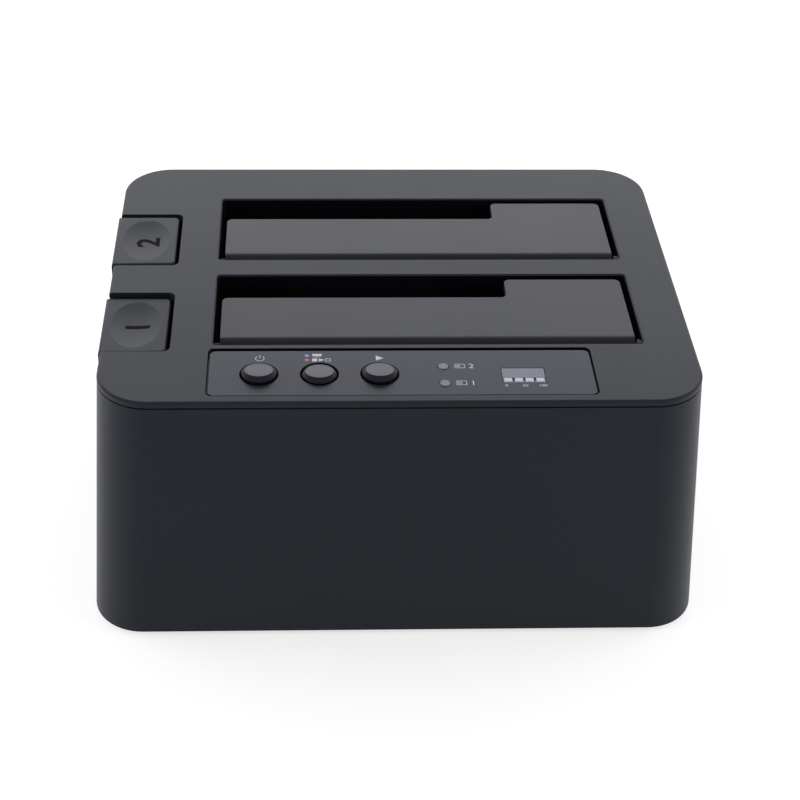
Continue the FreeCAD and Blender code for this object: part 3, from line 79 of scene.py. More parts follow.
def new_group(name, inputs, outputs):
    """A shader node group with the named sockets; each input comes with its usual value."""
    group = bpy.data.node_groups.new(name, "ShaderNodeTree")
    for label, kind, usual in inputs:
        socket = group.interface.new_socket(label, in_out="INPUT", socket_type=kind)
        socket.default_value = usual
    for label, kind in outputs:
        group.interface.new_socket(label, in_out="OUTPUT", socket_type=kind)
    return group, group.nodes.new("NodeGroupInput"), group.nodes.new("NodeGroupOutput")


def add_noise(nodes, links, coordinates, scale, detail):
    noise = nodes.new("ShaderNodeTexNoise")
    noise.inputs["Detail"].default_value = detail
    links.new(coordinates, noise.inputs["Vector"])
    links.new(scale, noise.inputs["Scale"])
    return noise.outputs["Fac"]


def add_relief(nodes, links, height, depth):
    """Normals of a surface raised by a mask, as deep as asked."""
    bump = nodes.new("ShaderNodeBump")
    links.new(depth, bump.inputs["Distance"])
    links.new(height, bump.inputs["Height"])
    return bump.outputs["Normal"]


def scale_and_add(nodes, links, value, factor, offset):
    """The value times the factor plus the offset, which are sockets or plain numbers."""
    total = nodes.new("ShaderNodeMath")
    total.operation = "MULTIPLY_ADD"
    links.new(value, total.inputs[0])
    for given, socket in ((factor, total.inputs[1]), (offset, total.inputs[2])):
        if isinstance(given, bpy.types.NodeSocket):
            links.new(given, socket)
        else:
            socket.default_value = given
    return total.outputs[0]


def make_moulded_finish():
    """Moulded plastic: a fine grain in relief, and slow changes of shade and gloss over it."""
    colour, number, vector = "NodeSocketColor", "NodeSocketFloat", "NodeSocketVector"
    group, given, result = new_group(
        "moulded_finish",
        [("Colour", colour, (0.02, 0.02, 0.022, 1)), ("Roughness", number, 0.5),
         ("Grain Scale", number, 2200), ("Grain Depth", number, 0.00002),
         ("Patch Scale", number, 35), ("Patch Shade", number, 0.2),
         ("Patch Gloss", number, 0.06)],
        [("Colour", colour), ("Roughness", number), ("Normal", vector)])
    nodes, links = group.nodes, group.links
    place = nodes.new("ShaderNodeTexCoord").outputs["Object"]
    grain = add_noise(nodes, links, place, given.outputs["Grain Scale"], 2)
    relief = add_relief(nodes, links, grain, given.outputs["Grain Depth"])
    links.new(relief, result.inputs["Normal"])

    patches = add_noise(nodes, links, place, given.outputs["Patch Scale"], 4)
    swing = nodes.new("ShaderNodeMath")
    swing.operation = "SUBTRACT"
    swing.inputs[1].default_value = NOISE_MIDDLE
    links.new(patches, swing.inputs[0])
    gloss = scale_and_add(nodes, links, swing.outputs[0], given.outputs["Patch Gloss"],
                          given.outputs["Roughness"])
    links.new(gloss, result.inputs["Roughness"])

    lift = scale_and_add(nodes, links, swing.outputs[0], given.outputs["Patch Shade"], 1)
    shade = nodes.new("ShaderNodeVectorMath")
    shade.operation = "SCALE"
    links.new(given.outputs["Colour"], shade.inputs[0])
    links.new(lift, shade.inputs["Scale"])
    links.new(shade.outputs["Vector"], result.inputs["Colour"])
    return group


def make_brushed_finish():
    """Plated or drawn metal: fine streaks from front to back, in gloss and slightly in relief."""
    colour, number, vector = "NodeSocketColor", "NodeSocketFloat", "NodeSocketVector"
    group, given, result = new_group(
        "brushed_finish",
        [("Colour", colour, (0.6, 0.6, 0.6, 1)), ("Roughness", number, 0.3),
         ("Streak Scale", number, 500), ("Streak Depth", number, 0.000003)],
        [("Colour", colour), ("Roughness", number), ("Normal", vector)])
    nodes, links = group.nodes, group.links
    stretch = nodes.new("ShaderNodeMapping")
    stretch.inputs["Scale"].default_value = STREAK_STRETCH
    links.new(nodes.new("ShaderNodeTexCoord").outputs["Object"], stretch.inputs["Vector"])
    streaks = add_noise(nodes, links, stretch.outputs[0], given.outputs["Streak Scale"], 2)
    relief = add_relief(nodes, links, streaks, given.outputs["Streak Depth"])
    links.new(relief, result.inputs["Normal"])
    gloss = scale_and_add(nodes, links, streaks, STREAK_GLOSS, given.outputs["Roughness"])
    links.new(gloss, result.inputs["Roughness"])
    links.new(given.outputs["Colour"], result.inputs["Colour"])
    return group


def make_board_finish():
    """Solder mask with a paler net of straight copper tracks under it."""
    colour, number = "NodeSocketColor", "NodeSocketFloat"
    group, given, result = new_group(
        "board_finish",
        [("Colour", colour, (0.01, 0.09, 0.035, 1)), ("Track Colour", colour, (0.03, 0.2, 0.07, 1)),
         ("Track Scale", number, 260)],
        [("Colour", colour)])
    nodes, links = group.nodes, group.links
    tracks = nodes.new("ShaderNodeTexBrick")
    tracks.inputs["Mortar Size"].default_value = TRACK_WIDTH
    tracks.inputs["Brick Width"].default_value = TRACK_LENGTH
    links.new(nodes.new("ShaderNodeTexCoord").outputs["Object"], tracks.inputs["Vector"])
    links.new(given.outputs["Track Scale"], tracks.inputs["Scale"])
    for socket in ("Color1", "Color2"):
        links.new(given.outputs["Colour"], tracks.inputs[socket])
    links.new(given.outputs["Track Colour"], tracks.inputs["Mortar"])
    links.new(tracks.outputs["Color"], result.inputs["Colour"])
    return group


MOULDED_FINISH = make_moulded_finish()
BRUSHED_FINISH = make_brushed_finish()
BOARD_FINISH = make_board_finish()


# ---------------------------------------------------------------- materials

MATERIALS = {}


def new_material(name, finish_group, surface_values, **values):
    """A material whose look comes from a finish group; constants go on the shader itself."""
    material = bpy.data.materials.new(name)
    material.use_nodes = True
    MATERIALS[name] = material
    nodes, links = material.node_tree.nodes, material.node_tree.links
    surface = nodes["Principled BSDF"]
    finish = nodes.new("ShaderNodeGroup")
    finish.node_tree = finish_group
    for label, value in values.items():
        finish.inputs[label.replace("_", " ")].default_value = value
    for label, socket in (("Colour", "Base Color"), ("Roughness", "Roughness"),
                          ("Normal", "Normal")):
        if label in finish.outputs:
            links.new(finish.outputs[label], surface.inputs[socket])
    for socket, value in surface_values.items():
        surface.inputs[socket].default_value = value
    return surface


# Mouldings reflect the white studio slightly blue.
SHEEN_TINT = (0.72, 0.76, 1.0, 1)


def moulded(name, colour, roughness, specular=0.25, grain=0.00002, shade=0.2):
    surface_values = {"Specular IOR Level": specular, "Specular Tint": SHEEN_TINT}
    return new_material(name, MOULDED_FINISH, surface_values, Colour=tuple(colour) + (1,),
                        Roughness=roughness, Grain_Depth=grain, Patch_Shade=shade)


def brushed(name, colour, roughness):
    return new_material(name, BRUSHED_FINISH, {"Metallic": 1.0}, Colour=tuple(colour) + (1,),
                        Roughness=roughness)


def glowing(name, colour, strength):
    surface = moulded(name, colour, 0.35, 0.5, grain=0.0, shade=0.05)
    surface.inputs["Emission Color"].default_value = tuple(colour) + (1,)
    surface.inputs["Emission Strength"].default_value = strength


def make_materials():
    moulded("case_black", (0.011, 0.0125, 0.015), 0.45, 0.21)
    # also painted on the lid's slot walls as painted shade
    moulded("well_black", (0.003, 0.003, 0.004), 0.7, 0.05)
    moulded("door_black", (0.014, 0.0145, 0.016), 0.40, 0.24)
    # painted shade for the doors' rolled front edges, a little glossier than the doors
    moulded("door_edge_painted_shade", (0.008, 0.008, 0.010), 0.3, 0.18, grain=0.000004)
    moulded("panel_grey", (0.012, 0.0135, 0.018), 0.34, 0.22, grain=0.000004)
    moulded("button_gloss", (0.003, 0.003, 0.004), 0.12, 0.22, grain=0.0)
    moulded("button_top", (0.036, 0.039, 0.046), 0.42, 0.30, grain=0.00001)
    moulded("lever_black", (0.02, 0.02, 0.022), 0.5)
    moulded("rubber_black", (0.02, 0.02, 0.02), 0.85, 0.2, grain=0.00004)
    moulded("smoked_lens", (0.125, 0.13, 0.155), 0.3, 0.3, grain=0.0, shade=0.1)
    glowing("bar_light", (0.33, 0.34, 0.38), 0.2)
    moulded("chip_black", (0.015, 0.015, 0.015), 0.5)
    brushed("can_aluminium", (0.7, 0.7, 0.7), 0.3)
    moulded("can_sleeve", (0.01, 0.012, 0.03), 0.3, 0.5, grain=0.0)
    moulded("switch_black", (0.02, 0.02, 0.02), 0.4)
    moulded("led_white", (0.85, 0.85, 0.75), 0.25, 0.5, grain=0.0, shade=0.05)
    moulded("connector_white", (0.75, 0.73, 0.66), 0.45)
    moulded("connector_black", (0.015, 0.015, 0.015), 0.4)
    moulded("ribbon_grey", (0.45, 0.45, 0.46), 0.5)
    brushed("port_metal", (0.62, 0.62, 0.62), 0.25)
    brushed("screw_steel", (0.5, 0.5, 0.5), 0.28)
    brushed("spring_steel", (0.06, 0.06, 0.065), 0.35)
    brushed("contact_gold", (0.75, 0.52, 0.2), 0.2)
    brushed("contact_tin", (0.65, 0.65, 0.63), 0.3)
    moulded("print_pale", (0.46, 0.47, 0.50), 0.5, 0.2, grain=0.0, shade=0.1)
    moulded("mark_blue", (0.15, 0.25, 0.45), 0.5, 0.2, grain=0.0, shade=0.1)
    moulded("mark_red", (0.34, 0.14, 0.13), 0.5, 0.2, grain=0.0, shade=0.1)
    moulded("numeral_dark", (0.006, 0.006, 0.008), 0.75, 0.05, grain=0.0, shade=0.1)
    new_material("board_green", BOARD_FINISH, {"Roughness": 0.3, "Specular IOR Level": 0.5})


make_materials()


# ---------------------------------------------------------------- making pieces

WELD = 0.002 * MM
FLAT = math.radians(0.4)
CREASE = math.radians(32)
EDGE_ROUNDING = 0.12 * MM
ROUNDED_FROM = math.radians(40)


def start_mesh(node):
    """The merged shape of a carried-over node, with flat stretches joined to single faces."""
    mesh = bmesh.new()
    mesh.from_mesh(frame["nodes"][node].data)
    bmesh.ops.remove_doubles(mesh, verts=mesh.verts, dist=WELD)
    bmesh.ops.dissolve_limit(mesh, angle_limit=FLAT, verts=mesh.verts, edges=mesh.edges)
    return mesh


def add_piece(name, mesh, body, *materials):
    """A piece at the origin, unturned, that is smooth up to its creases and rides on a body."""
    data = bpy.data.meshes.new(name)
    mesh.to_mesh(data)
    mesh.free()
    for material in materials:
        data.materials.append(MATERIALS[material])
    data.shade_smooth()
    data.set_sharp_from_angle(angle=CREASE)
    piece = bpy.data.objects.new(name, data)
    bpy.context.scene.collection.objects.link(piece)
    if body:
        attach(piece, body)
    return piece


def stand_in(piece, node):
    """The piece is shown in place of the node, which is hidden."""
    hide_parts(node)
    return piece


def soften(node):
    """Show a node as a smoothly shaded copy whose sharp edges are slightly rounded."""
    piece = add_piece(node + "_fine", start_mesh(node), BODY_OF[node], SLOT_OF[node])
    rounding = piece.modifiers.new("rounded_edges", "BEVEL")
    rounding.width = EDGE_ROUNDING
    rounding.segments = 2
    rounding.limit_method = "ANGLE"
    rounding.angle_limit = ROUNDED_FROM
    even = piece.modifiers.new("flat_faces_stay_flat", "WEIGHTED_NORMAL")
    even.weight = 100
    even.keep_sharp = True
    return stand_in(piece, node)


def islands(mesh):
    """(lowest corner, highest corner) of each separate lump of a mesh."""
    waiting = set(mesh.verts)
    found = []
    while waiting:
        front = [waiting.pop()]
        lump = list(front)
        while front:
            vert = front.pop()
            for edge in vert.link_edges:
                other = edge.other_vert(vert)
                if other in waiting:
                    waiting.remove(other)
                    front.append(other)
                    lump.append(other)
        found.append(tuple(Vector(limit(vert.co[axis] for vert in lump) for axis in range(3))
                           for limit in (min, max)))
    return sorted(found, key=lambda corners: tuple(corners[0]))


def solids_of(node):
    """The corners of each separate solid of a node."""
    mesh = start_mesh(node)
    found = islands(mesh)
    mesh.free()
    return found


def middle_of(corners):
    return (corners[0] + corners[1]) / 2


def lathe(mesh, outline, centre, steps=72):
    """Turn (radius, height) points about the vertical line through the centre."""
    rings = []
    for radius, height in outline:
        turns = [math.tau * step / steps for step in range(steps if radius else 1)]
        rings.append([mesh.verts.new((centre.x + radius * math.cos(turn),
                                      centre.y + radius * math.sin(turn), height))
                      for turn in turns])
    faces = []
    for lower, upper in zip(rings, rings[1:]):
        for step in range(steps):
            corners = [lower[step % len(lower)], lower[(step + 1) % len(lower)],
                       upper[(step + 1) % len(upper)], upper[step % len(upper)]]
            faces.append(mesh.faces.new(dict.fromkeys(corners)))
    bmesh.ops.recalc_face_normals(mesh, faces=faces)
    return faces


def bar(mesh, middle, size, rounding):
    """A straight bar with rounded edges."""
    place = Matrix.Translation(middle) @ Matrix.Diagonal(tuple(size) + (1,))
    made = bmesh.ops.create_cube(mesh, size=1, matrix=place)["verts"]
    edges = list({edge for vert in made for edge in vert.link_edges})
    bmesh.ops.bevel(mesh, geom=edges, offset=rounding, segments=2, affect="EDGES", profile=0.5)


# ---------------------------------------------------------------- faces of a second colour, some of them painted shade

WALL_LEAN = 0.3
DOOR_ROLL = 3.6 * MM
ROLL_FORWARDS = -0.15
ROLL_UPWARDS = 0.02
TONGUE_REACH = Vector((3.0, 0, 2.2)) * MM
PORT_LIP = 0.2 * MM


def paint_shade_on_slot_walls(lid):
    """The cut walls of the two drive slots are painted the wells' near-black, as painted shade
    inside the slots.
    """
    lid.data.materials.append(MATERIALS["well_black"])
    for bay in "12":
        low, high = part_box("bay_well_" + bay)
        for face in lid.data.polygons:
            inside = low.x < face.center.x < high.x and low.y < face.center.y < high.y
            if inside and abs(face.normal.z) < WALL_LEAN:
                # painted shade: the slot walls take the wells' near-black
                face.material_index = 1


def paint_shade_on_door_edge(door, node):
    """The rolled front edge of a door, which faces forwards and up, is painted darker as painted
    shade, and made a little glossier.
    """
    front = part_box(node)[0].y
    door.data.materials.append(MATERIALS["door_edge_painted_shade"])
    for face in door.data.polygons:
        rolled = face.normal.y < ROLL_FORWARDS and face.normal.z > ROLL_UPWARDS
        if rolled and face.center.y < front + DOOR_ROLL:
            # painted shade on the rolled edge
            face.material_index = 1


def paint_port_tongue(port, node):
    """The tongue and the back wall inside a metal port are of black plastic."""
    low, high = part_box(node)
    port.data.materials.append(MATERIALS["connector_black"])
    middle = (low + high) / 2
    for face in port.data.polygons:
        from_middle = face.center - middle
        near = abs(from_middle.x) < TONGUE_REACH.x and abs(from_middle.z) < TONGUE_REACH.z
        if near and face.center.y < high.y - PORT_LIP:
            face.material_index = 1


# ---------------------------------------------------------------- rows of copies

def make_row_tree():
    """Copies of the given piece at even steps in a straight row."""
    tree = bpy.data.node_groups.new("row_of_copies", "GeometryNodeTree")
    sockets = {}
    for label, kind in (("Geometry", "Geometry"), ("Count", "Int"), ("Step", "Vector"),
                        ("Material", "Material")):
        socket = tree.interface.new_socket(label, in_out="INPUT",
                                           socket_type="NodeSocket" + kind)
        sockets[label] = socket.identifier
    tree.interface.new_socket("Geometry", in_out="OUTPUT", socket_type="NodeSocketGeometry")
    nodes, links = tree.nodes, tree.links
    given, result = nodes.new("NodeGroupInput"), nodes.new("NodeGroupOutput")
    line = nodes.new("GeometryNodeMeshLine")
    links.new(given.outputs["Count"], line.inputs["Count"])
    links.new(given.outputs["Step"], line.inputs["Offset"])
    copies = nodes.new("GeometryNodeInstanceOnPoints")
    links.new(line.outputs[0], copies.inputs["Points"])
    links.new(given.outputs["Geometry"], copies.inputs["Instance"])
    real = nodes.new("GeometryNodeRealizeInstances")
    links.new(copies.outputs[0], real.inputs[0])
    painted = nodes.new("GeometryNodeSetMaterial")
    links.new(real.outputs[0], painted.inputs["Geometry"])
    links.new(given.outputs["Material"], painted.inputs["Material"])
    links.new(painted.outputs[0], result.inputs[0])
    return tree, sockets


ROW_TREE, ROW_SOCKETS = make_row_tree()


def add_row(whole, template, count, step, material):
    """Add a row of the template's copies to a mesh and free the template."""
    data = bpy.data.meshes.new("row_template")
    template.to_mesh(data)
    template.free()
    row = bpy.data.objects.new("row_template", data)
    bpy.context.scene.collection.objects.link(row)
    modifier = row.modifiers.new("row", "NODES")
    modifier.node_group = ROW_TREE
    modifier[ROW_SOCKETS["Count"]] = count
    modifier[ROW_SOCKETS["Step"]] = tuple(step)
    modifier[ROW_SOCKETS["Material"]] = MATERIALS[material]
    bpy.context.view_layer.update()
    shown = row.evaluated_get(bpy.context.evaluated_depsgraph_get())
    copies = bpy.data.meshes.new_from_object(shown)
    whole.from_mesh(copies)
    bpy.data.objects.remove(row)
    bpy.data.meshes.remove(data)
    bpy.data.meshes.remove(copies)


# ---------------------------------------------------------------- printed signs

PRINT_RISE = 0.02 * MM
PRINT_DEPTH = 0.06 * MM
PRINT_LINE = 0.16 * MM
LETTER_STRETCH = 1.15


def add_text(mesh, words, height, centre, turn=0.0, boldness=0.0):
    """Flat characters around a centre, as tall as asked, turned about the vertical."""
    curve = bpy.data.curves.new("characters", "FONT")
    curve.body = words
    curve.resolution_u = 6
    curve.offset = boldness
    holder = bpy.data.objects.new("characters", curve)
    bpy.context.scene.collection.objects.link(holder)
    bpy.context.view_layer.update()
    data = bpy.data.meshes.new_from_object(
        holder.evaluated_get(bpy.context.evaluated_depsgraph_get()))
    bpy.data.objects.remove(holder)
    bpy.data.curves.remove(curve)
    corners = [Vector(limit(vert.co[axis] for vert in data.vertices) for axis in (0, 1))
               for limit in (min, max)]
    scale = height / (corners[1].y - corners[0].y)
    middle = (corners[0] + corners[1]) / 2
    data.transform(Matrix.Translation((centre.x, centre.y, 0))
                   @ Matrix.Rotation(turn, 4, "Z")
                   @ Matrix.Diagonal((scale * LETTER_STRETCH, scale, 1, 1))
                   @ Matrix.Translation((-middle.x, -middle.y, 0)))
    mesh.from_mesh(data)
    bpy.data.meshes.remove(data)


def add_flat(mesh, points):
    mesh.faces.new([mesh.verts.new((point.x, point.y, 0)) for point in points])


def add_stroke(mesh, start, end, width):
    """A straight printed line with square ends."""
    across = Vector((start.y - end.y, end.x - start.x)).normalized() * width / 2
    add_flat(mesh, (start - across, end - across, end + across, start + across))


def add_arc(mesh, centre, radius, width, start, end, steps=32):
    """A printed arc; a start and end a full turn apart make a ring."""
    for step in range(steps):
        turns = [start + (end - start) * place / steps for place in (step, step + 1)]
        rays = [Vector((math.cos(turn), math.sin(turn))) for turn in turns]
        inner, outer = radius - width / 2, radius + width / 2
        add_flat(mesh, (centre + rays[0] * inner, centre + rays[0] * outer,
                        centre + rays[1] * outer, centre + rays[1] * inner))


def add_frame(mesh, centre, width, height, line):
    """A printed rectangle outline."""
    half, rise = Vector((width / 2, 0)), Vector((0, height / 2))
    for sign in (-1, 1):
        add_stroke(mesh, centre + sign * half - rise, centre + sign * half + rise, line)
        add_stroke(mesh, centre + sign * rise - half - Vector((line / 2, 0)),
                   centre + sign * rise + half + Vector((line / 2, 0)), line)


def lay_on(mesh, node, longest=0.5 * MM):
    """Drape flat signs over the top of a node and sink their edges into it."""
    bmesh.ops.remove_doubles(mesh, verts=mesh.verts, dist=WELD)
    bmesh.ops.triangulate(mesh, faces=mesh.faces)
    for _ in range(5):
        long_edges = [edge for edge in mesh.edges if edge.calc_length() > longest]
        if not long_edges:
            break
        bmesh.ops.subdivide_edges(mesh, edges=long_edges, cuts=1)
        bmesh.ops.triangulate(mesh, faces=mesh.faces)
    ground = bmesh.new()
    ground.from_mesh(frame["nodes"][node].data)
    tree = BVHTree.FromBMesh(ground)
    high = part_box(node)[1].z + MM
    for vert in mesh.verts:
        spot = tree.ray_cast(Vector((vert.co.x, vert.co.y, high)), Vector((0, 0, -1)))[0]
        vert.co.z = spot.z + PRINT_RISE
    ground.free()
    bmesh.ops.recalc_face_normals(mesh, faces=mesh.faces)
    for face in mesh.faces:
        if face.normal.z < 0:
            face.normal_flip()
    upper = list(mesh.faces)
    sunk = bmesh.ops.extrude_face_region(mesh, geom=upper, use_keep_orig=True)["geom"]
    for vert in sunk:
        if isinstance(vert, bmesh.types.BMVert):
            vert.co.z -= PRINT_RISE + PRINT_DEPTH
    bmesh.ops.recalc_face_normals(mesh, faces=mesh.faces)


# ---------------------------------------------------------------- moving pieces

LID_THICKNESS = 2.4 * MM
FACE_RADIUS = 3.3 * MM
WALL_RADIUS = 4.15 * MM
STEM_RADIUS = 1.6 * MM
FACE_DEPTH = 0.15 * MM
FLANGE_THICKNESS = 0.8 * MM
TOP_SLANT = 0.16
SLANT_DEPTH = 2.2 * MM
NUMERAL_HEIGHT = 6.0 * MM
NUMERAL_INSET = 8.6 * MM
NUMERAL_SHIFT = -0.2 * MM
NUMERAL_BOLDNESS = 0.025


def make_eject_spring(bay):
    """A copy of the spring, shown in place of its node, with a mesh of its own."""
    node = "eject_spring_" + bay
    piece = add_piece(node + "_squeezed", start_mesh(node), BODY_OF[node], SLOT_OF[node])
    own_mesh(stand_in(piece, node))


def make_door_spring(bay):
    """A copy of the door's spring, shown in place of its node; it rides on no body."""
    node = "door_spring_" + bay
    piece = stand_in(add_piece(node + "_wound", start_mesh(node), None, SLOT_OF[node]), node)
    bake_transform(piece)


def button_outline(top, foot, flange_top, flange_radius):
    """Domed top, polished wall, flange under the lid and stem, from the top down."""
    flange_foot = flange_top - FLANGE_THICKNESS
    return [(0, top), (FACE_RADIUS * 0.5, top - 0.02 * MM), (FACE_RADIUS * 0.85, top - 0.07 * MM),
            (FACE_RADIUS, top - 0.14 * MM), (FACE_RADIUS + 0.1 * MM, top - 0.24 * MM),
            (WALL_RADIUS - 0.06 * MM, top - 1.2 * MM), (WALL_RADIUS, top - 1.35 * MM),
            (WALL_RADIUS, flange_top), (flange_radius, flange_top),
            (flange_radius, flange_foot), (STEM_RADIUS, flange_foot), (STEM_RADIUS, foot),
            (0, foot)]


def make_push_button(node):
    """Polished collar with a matt top that slants down towards the back."""
    low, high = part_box(node)
    centre = (low + high) / 2
    top = high.z
    flange_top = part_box("top_cover")[1].z - LID_THICKNESS
    outline = button_outline(top, low.z, flange_top, (high.x - low.x) / 2)
    mesh = bmesh.new()
    for face in lathe(mesh, outline, centre):
        if min(vert.co.z for vert in face.verts) > top - FACE_DEPTH:
            face.material_index = 1
    for vert in mesh.verts:
        share = max(0, 1 - (top - vert.co.z) / SLANT_DEPTH)
        vert.co.z -= share * (vert.co.y - centre.y + FACE_RADIUS) * TOP_SLANT
    piece = add_piece(node + "_turned", mesh, BODY_OF[node], SLOT_OF[node], "button_top")
    stand_in(piece, node)


def make_numeral(bay):
    """The bay's number, read from the right-hand side, in the thumb rest of its eject button."""
    button = "eject_button_" + bay
    low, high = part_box(button)
    mesh = bmesh.new()
    centre = Vector((low.x + NUMERAL_INSET, (low.y + high.y) / 2 + NUMERAL_SHIFT))
    add_text(mesh, bay, NUMERAL_HEIGHT, centre, turn=math.pi / 2, boldness=NUMERAL_BOLDNESS)
    lay_on(mesh, button)
    piece = add_piece("bay_numeral_" + bay, mesh, BODY_OF[button], "numeral_dark")


# ---------------------------------------------------------------- control panel

SIGN_RISE = 6.3 * MM
SIGN_SHIFT = 0.1 * MM
POWER_SIGN = 2.4 * MM
START_SIGN = 2.0 * MM
MODE_SIGN = 1.5 * MM
MODE_SIGN_SHIFT = 0.5 * MM
MODE_RISE = {"blue": 7.4 * MM, "red": 5.6 * MM}
MARK_SHIFT = -2.9 * MM
MARK_RADIUS = 0.28 * MM
MARK_LINE = 0.54 * MM
DRIVE_SIGN = 1.5 * MM
DRIVE_SIGN_PLACE = Vector((3.9, 0.2)) * MM
DRIVE_NUMBER = 1.7 * MM
DRIVE_NUMBER_PLACE = Vector((6.6, 0.2)) * MM
SCALE_NUMBER = 0.85 * MM
SCALE_GAP = 0.4 * MM
FIRST_NUMBER_SHIFT = -0.6 * MM
LAST_NUMBER_SHIFT = 0.5 * MM
PANEL_DRAPE = 2 * MM


def node_centre(node):
    middle = middle_of(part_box(node))
    return Vector((middle.x, middle.y))


def draw_power_sign(mesh, centre, size):
    """An open ring with a stroke through its gap."""
    gap = math.radians(38)
    add_arc(mesh, centre, size * 0.42, PRINT_LINE, math.pi / 2 + gap, math.pi * 2.5 - gap)
    add_stroke(mesh, centre + Vector((0, size * 0.08)), centre + Vector((0, size * 0.55)),
               PRINT_LINE)


def draw_computer_sign(mesh, centre, size):
    """A screen over its foot."""
    add_stroke(mesh, centre + Vector((-size * 0.75, size * 0.15)),
               centre + Vector((size * 0.75, size * 0.15)), size * 0.6)
    add_stroke(mesh, centre + Vector((-size * 0.5, -size * 0.38)),
               centre + Vector((size * 0.5, -size * 0.38)), PRINT_LINE)


def draw_copy_sign(mesh, centre, size):
    """A full square, an arrow and an empty square."""
    shift = Vector((size * 1.05, 0))
    half = Vector((size * 0.4, 0))
    add_stroke(mesh, centre - shift - half, centre - shift + half, size * 0.8)
    add_frame(mesh, centre + shift, size * 0.7, size * 0.7, PRINT_LINE)
    add_flat(mesh, (centre + Vector((-size * 0.4, -size * 0.4)),
                    centre + Vector((size * 0.5, 0)), centre + Vector((-size * 0.4, size * 0.4))))


def draw_start_sign(mesh, centre, size):
    """A triangle that points to the right."""
    add_flat(mesh, (centre + Vector((-size * 0.4, -size * 0.5)), centre + Vector((size * 0.5, 0)),
                    centre + Vector((-size * 0.4, size * 0.5))))


def draw_drive_sign(mesh, centre, size):
    """A drive's outline with its disc."""
    add_frame(mesh, centre, size * 1.5, size, PRINT_LINE)
    add_arc(mesh, centre - Vector((size * 0.25, 0)), size * 0.25, PRINT_LINE, 0, math.tau,
            steps=20)


def make_panel_print():
    """Plain signs and numbers behind the buttons, beside the lights and before the window."""
    mesh = bmesh.new()
    power, mode, start = (node_centre(node + "_button") for node in ("power", "mode", "start"))
    draw_power_sign(mesh, power + Vector((SIGN_SHIFT, SIGN_RISE)), POWER_SIGN)
    draw_computer_sign(mesh, mode + Vector((-MODE_SIGN_SHIFT, MODE_RISE["blue"])), MODE_SIGN)
    draw_copy_sign(mesh, mode + Vector((MODE_SIGN_SHIFT, MODE_RISE["red"])), MODE_SIGN)
    draw_start_sign(mesh, start + Vector((SIGN_SHIFT, SIGN_RISE)), START_SIGN)
    for bay in "12":
        light = node_centre("led_lens_" + bay)
        draw_drive_sign(mesh, light + DRIVE_SIGN_PLACE, DRIVE_SIGN)
        add_text(mesh, bay, DRIVE_NUMBER, light + DRIVE_NUMBER_PLACE)
    bars = [middle_of(corners) for corners in solids_of("progress_bars")]
    scale_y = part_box("progress_window")[0].y - SCALE_GAP
    for words, place in (("0", bars[0].x + FIRST_NUMBER_SHIFT),
                         ("50", (bars[0].x + bars[-1].x) / 2),
                         ("100", bars[-1].x + LAST_NUMBER_SHIFT)):
        add_text(mesh, words, SCALE_NUMBER, Vector((place, scale_y)))
    lay_on(mesh, "control_panel", PANEL_DRAPE)
    add_piece("panel_print", mesh, "case", "print_pale")
    for colour, rise in MODE_RISE.items():
        make_mode_mark(colour, mode + Vector((MARK_SHIFT, rise)))


def make_mode_mark(colour, centre):
    """A round dot: a ring with a line so wide that its hole closes up."""
    mesh = bmesh.new()
    add_arc(mesh, centre, MARK_RADIUS, MARK_LINE, 0, math.tau, steps=24)
    lay_on(mesh, "control_panel", PANEL_DRAPE)
    add_piece("mode_mark_" + colour, mesh, "case", "mark_" + colour)


# ---------------------------------------------------------------- connectors and ports

CONTACT_PITCH = 1.27 * MM
POWER_MOUTH = (-7.6 * MM, 15)
DATA_MOUTH = (12.0 * MM, 7)
DRIVE_CONTACT = (0.7 * MM, 0.3 * MM, 5.0 * MM)
DRIVE_CONTACT_ROUNDING = 0.08 * MM
DRIVE_CONTACT_DROP = 0.9 * MM
DRIVE_CONTACT_SHIFT = 0.6 * MM
SQUARE_CONTACT = (1.0 * MM, 7.0 * MM, 0.2 * MM)
SQUARE_CONTACT_ROUNDING = 0.05 * MM
SQUARE_CONTACT_DEPTH = 5.0 * MM
SQUARE_CONTACT_RISE = 1.6 * MM
SQUARE_PITCH = 2.5 * MM
FLAT_CONTACT = (0.8 * MM, 5.0 * MM, 0.16 * MM)
FLAT_CONTACT_ROUNDING = 0.04 * MM
FLAT_CONTACT_DEPTH = 4.0 * MM
FLAT_CONTACT_RISE = 0.6 * MM
FLAT_COUNT = 7
PIN_RADIUS = 1.04 * MM
PIN_START = -9.4 * MM
PIN_TIP = -0.98 * MM


def make_drive_contacts(bay):
    """Contact strips in the two mouths of a bay's connector."""
    low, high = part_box("drive_connector_" + bay)
    centre = (low + high) / 2
    row_y = centre.y + DRIVE_CONTACT_SHIFT
    height = high.z - DRIVE_CONTACT_DROP - DRIVE_CONTACT[2] / 2
    mesh = bmesh.new()
    for shift, count in (POWER_MOUTH, DATA_MOUTH):
        strip = bmesh.new()
        first = centre.x + shift - (count - 1) / 2 * CONTACT_PITCH
        bar(strip, Vector((first, row_y, height)), DRIVE_CONTACT, DRIVE_CONTACT_ROUNDING)
        add_row(mesh, strip, count, (CONTACT_PITCH, 0, 0), "contact_gold")
    piece = add_piece("drive_contacts_" + bay, mesh, "case", "contact_gold")


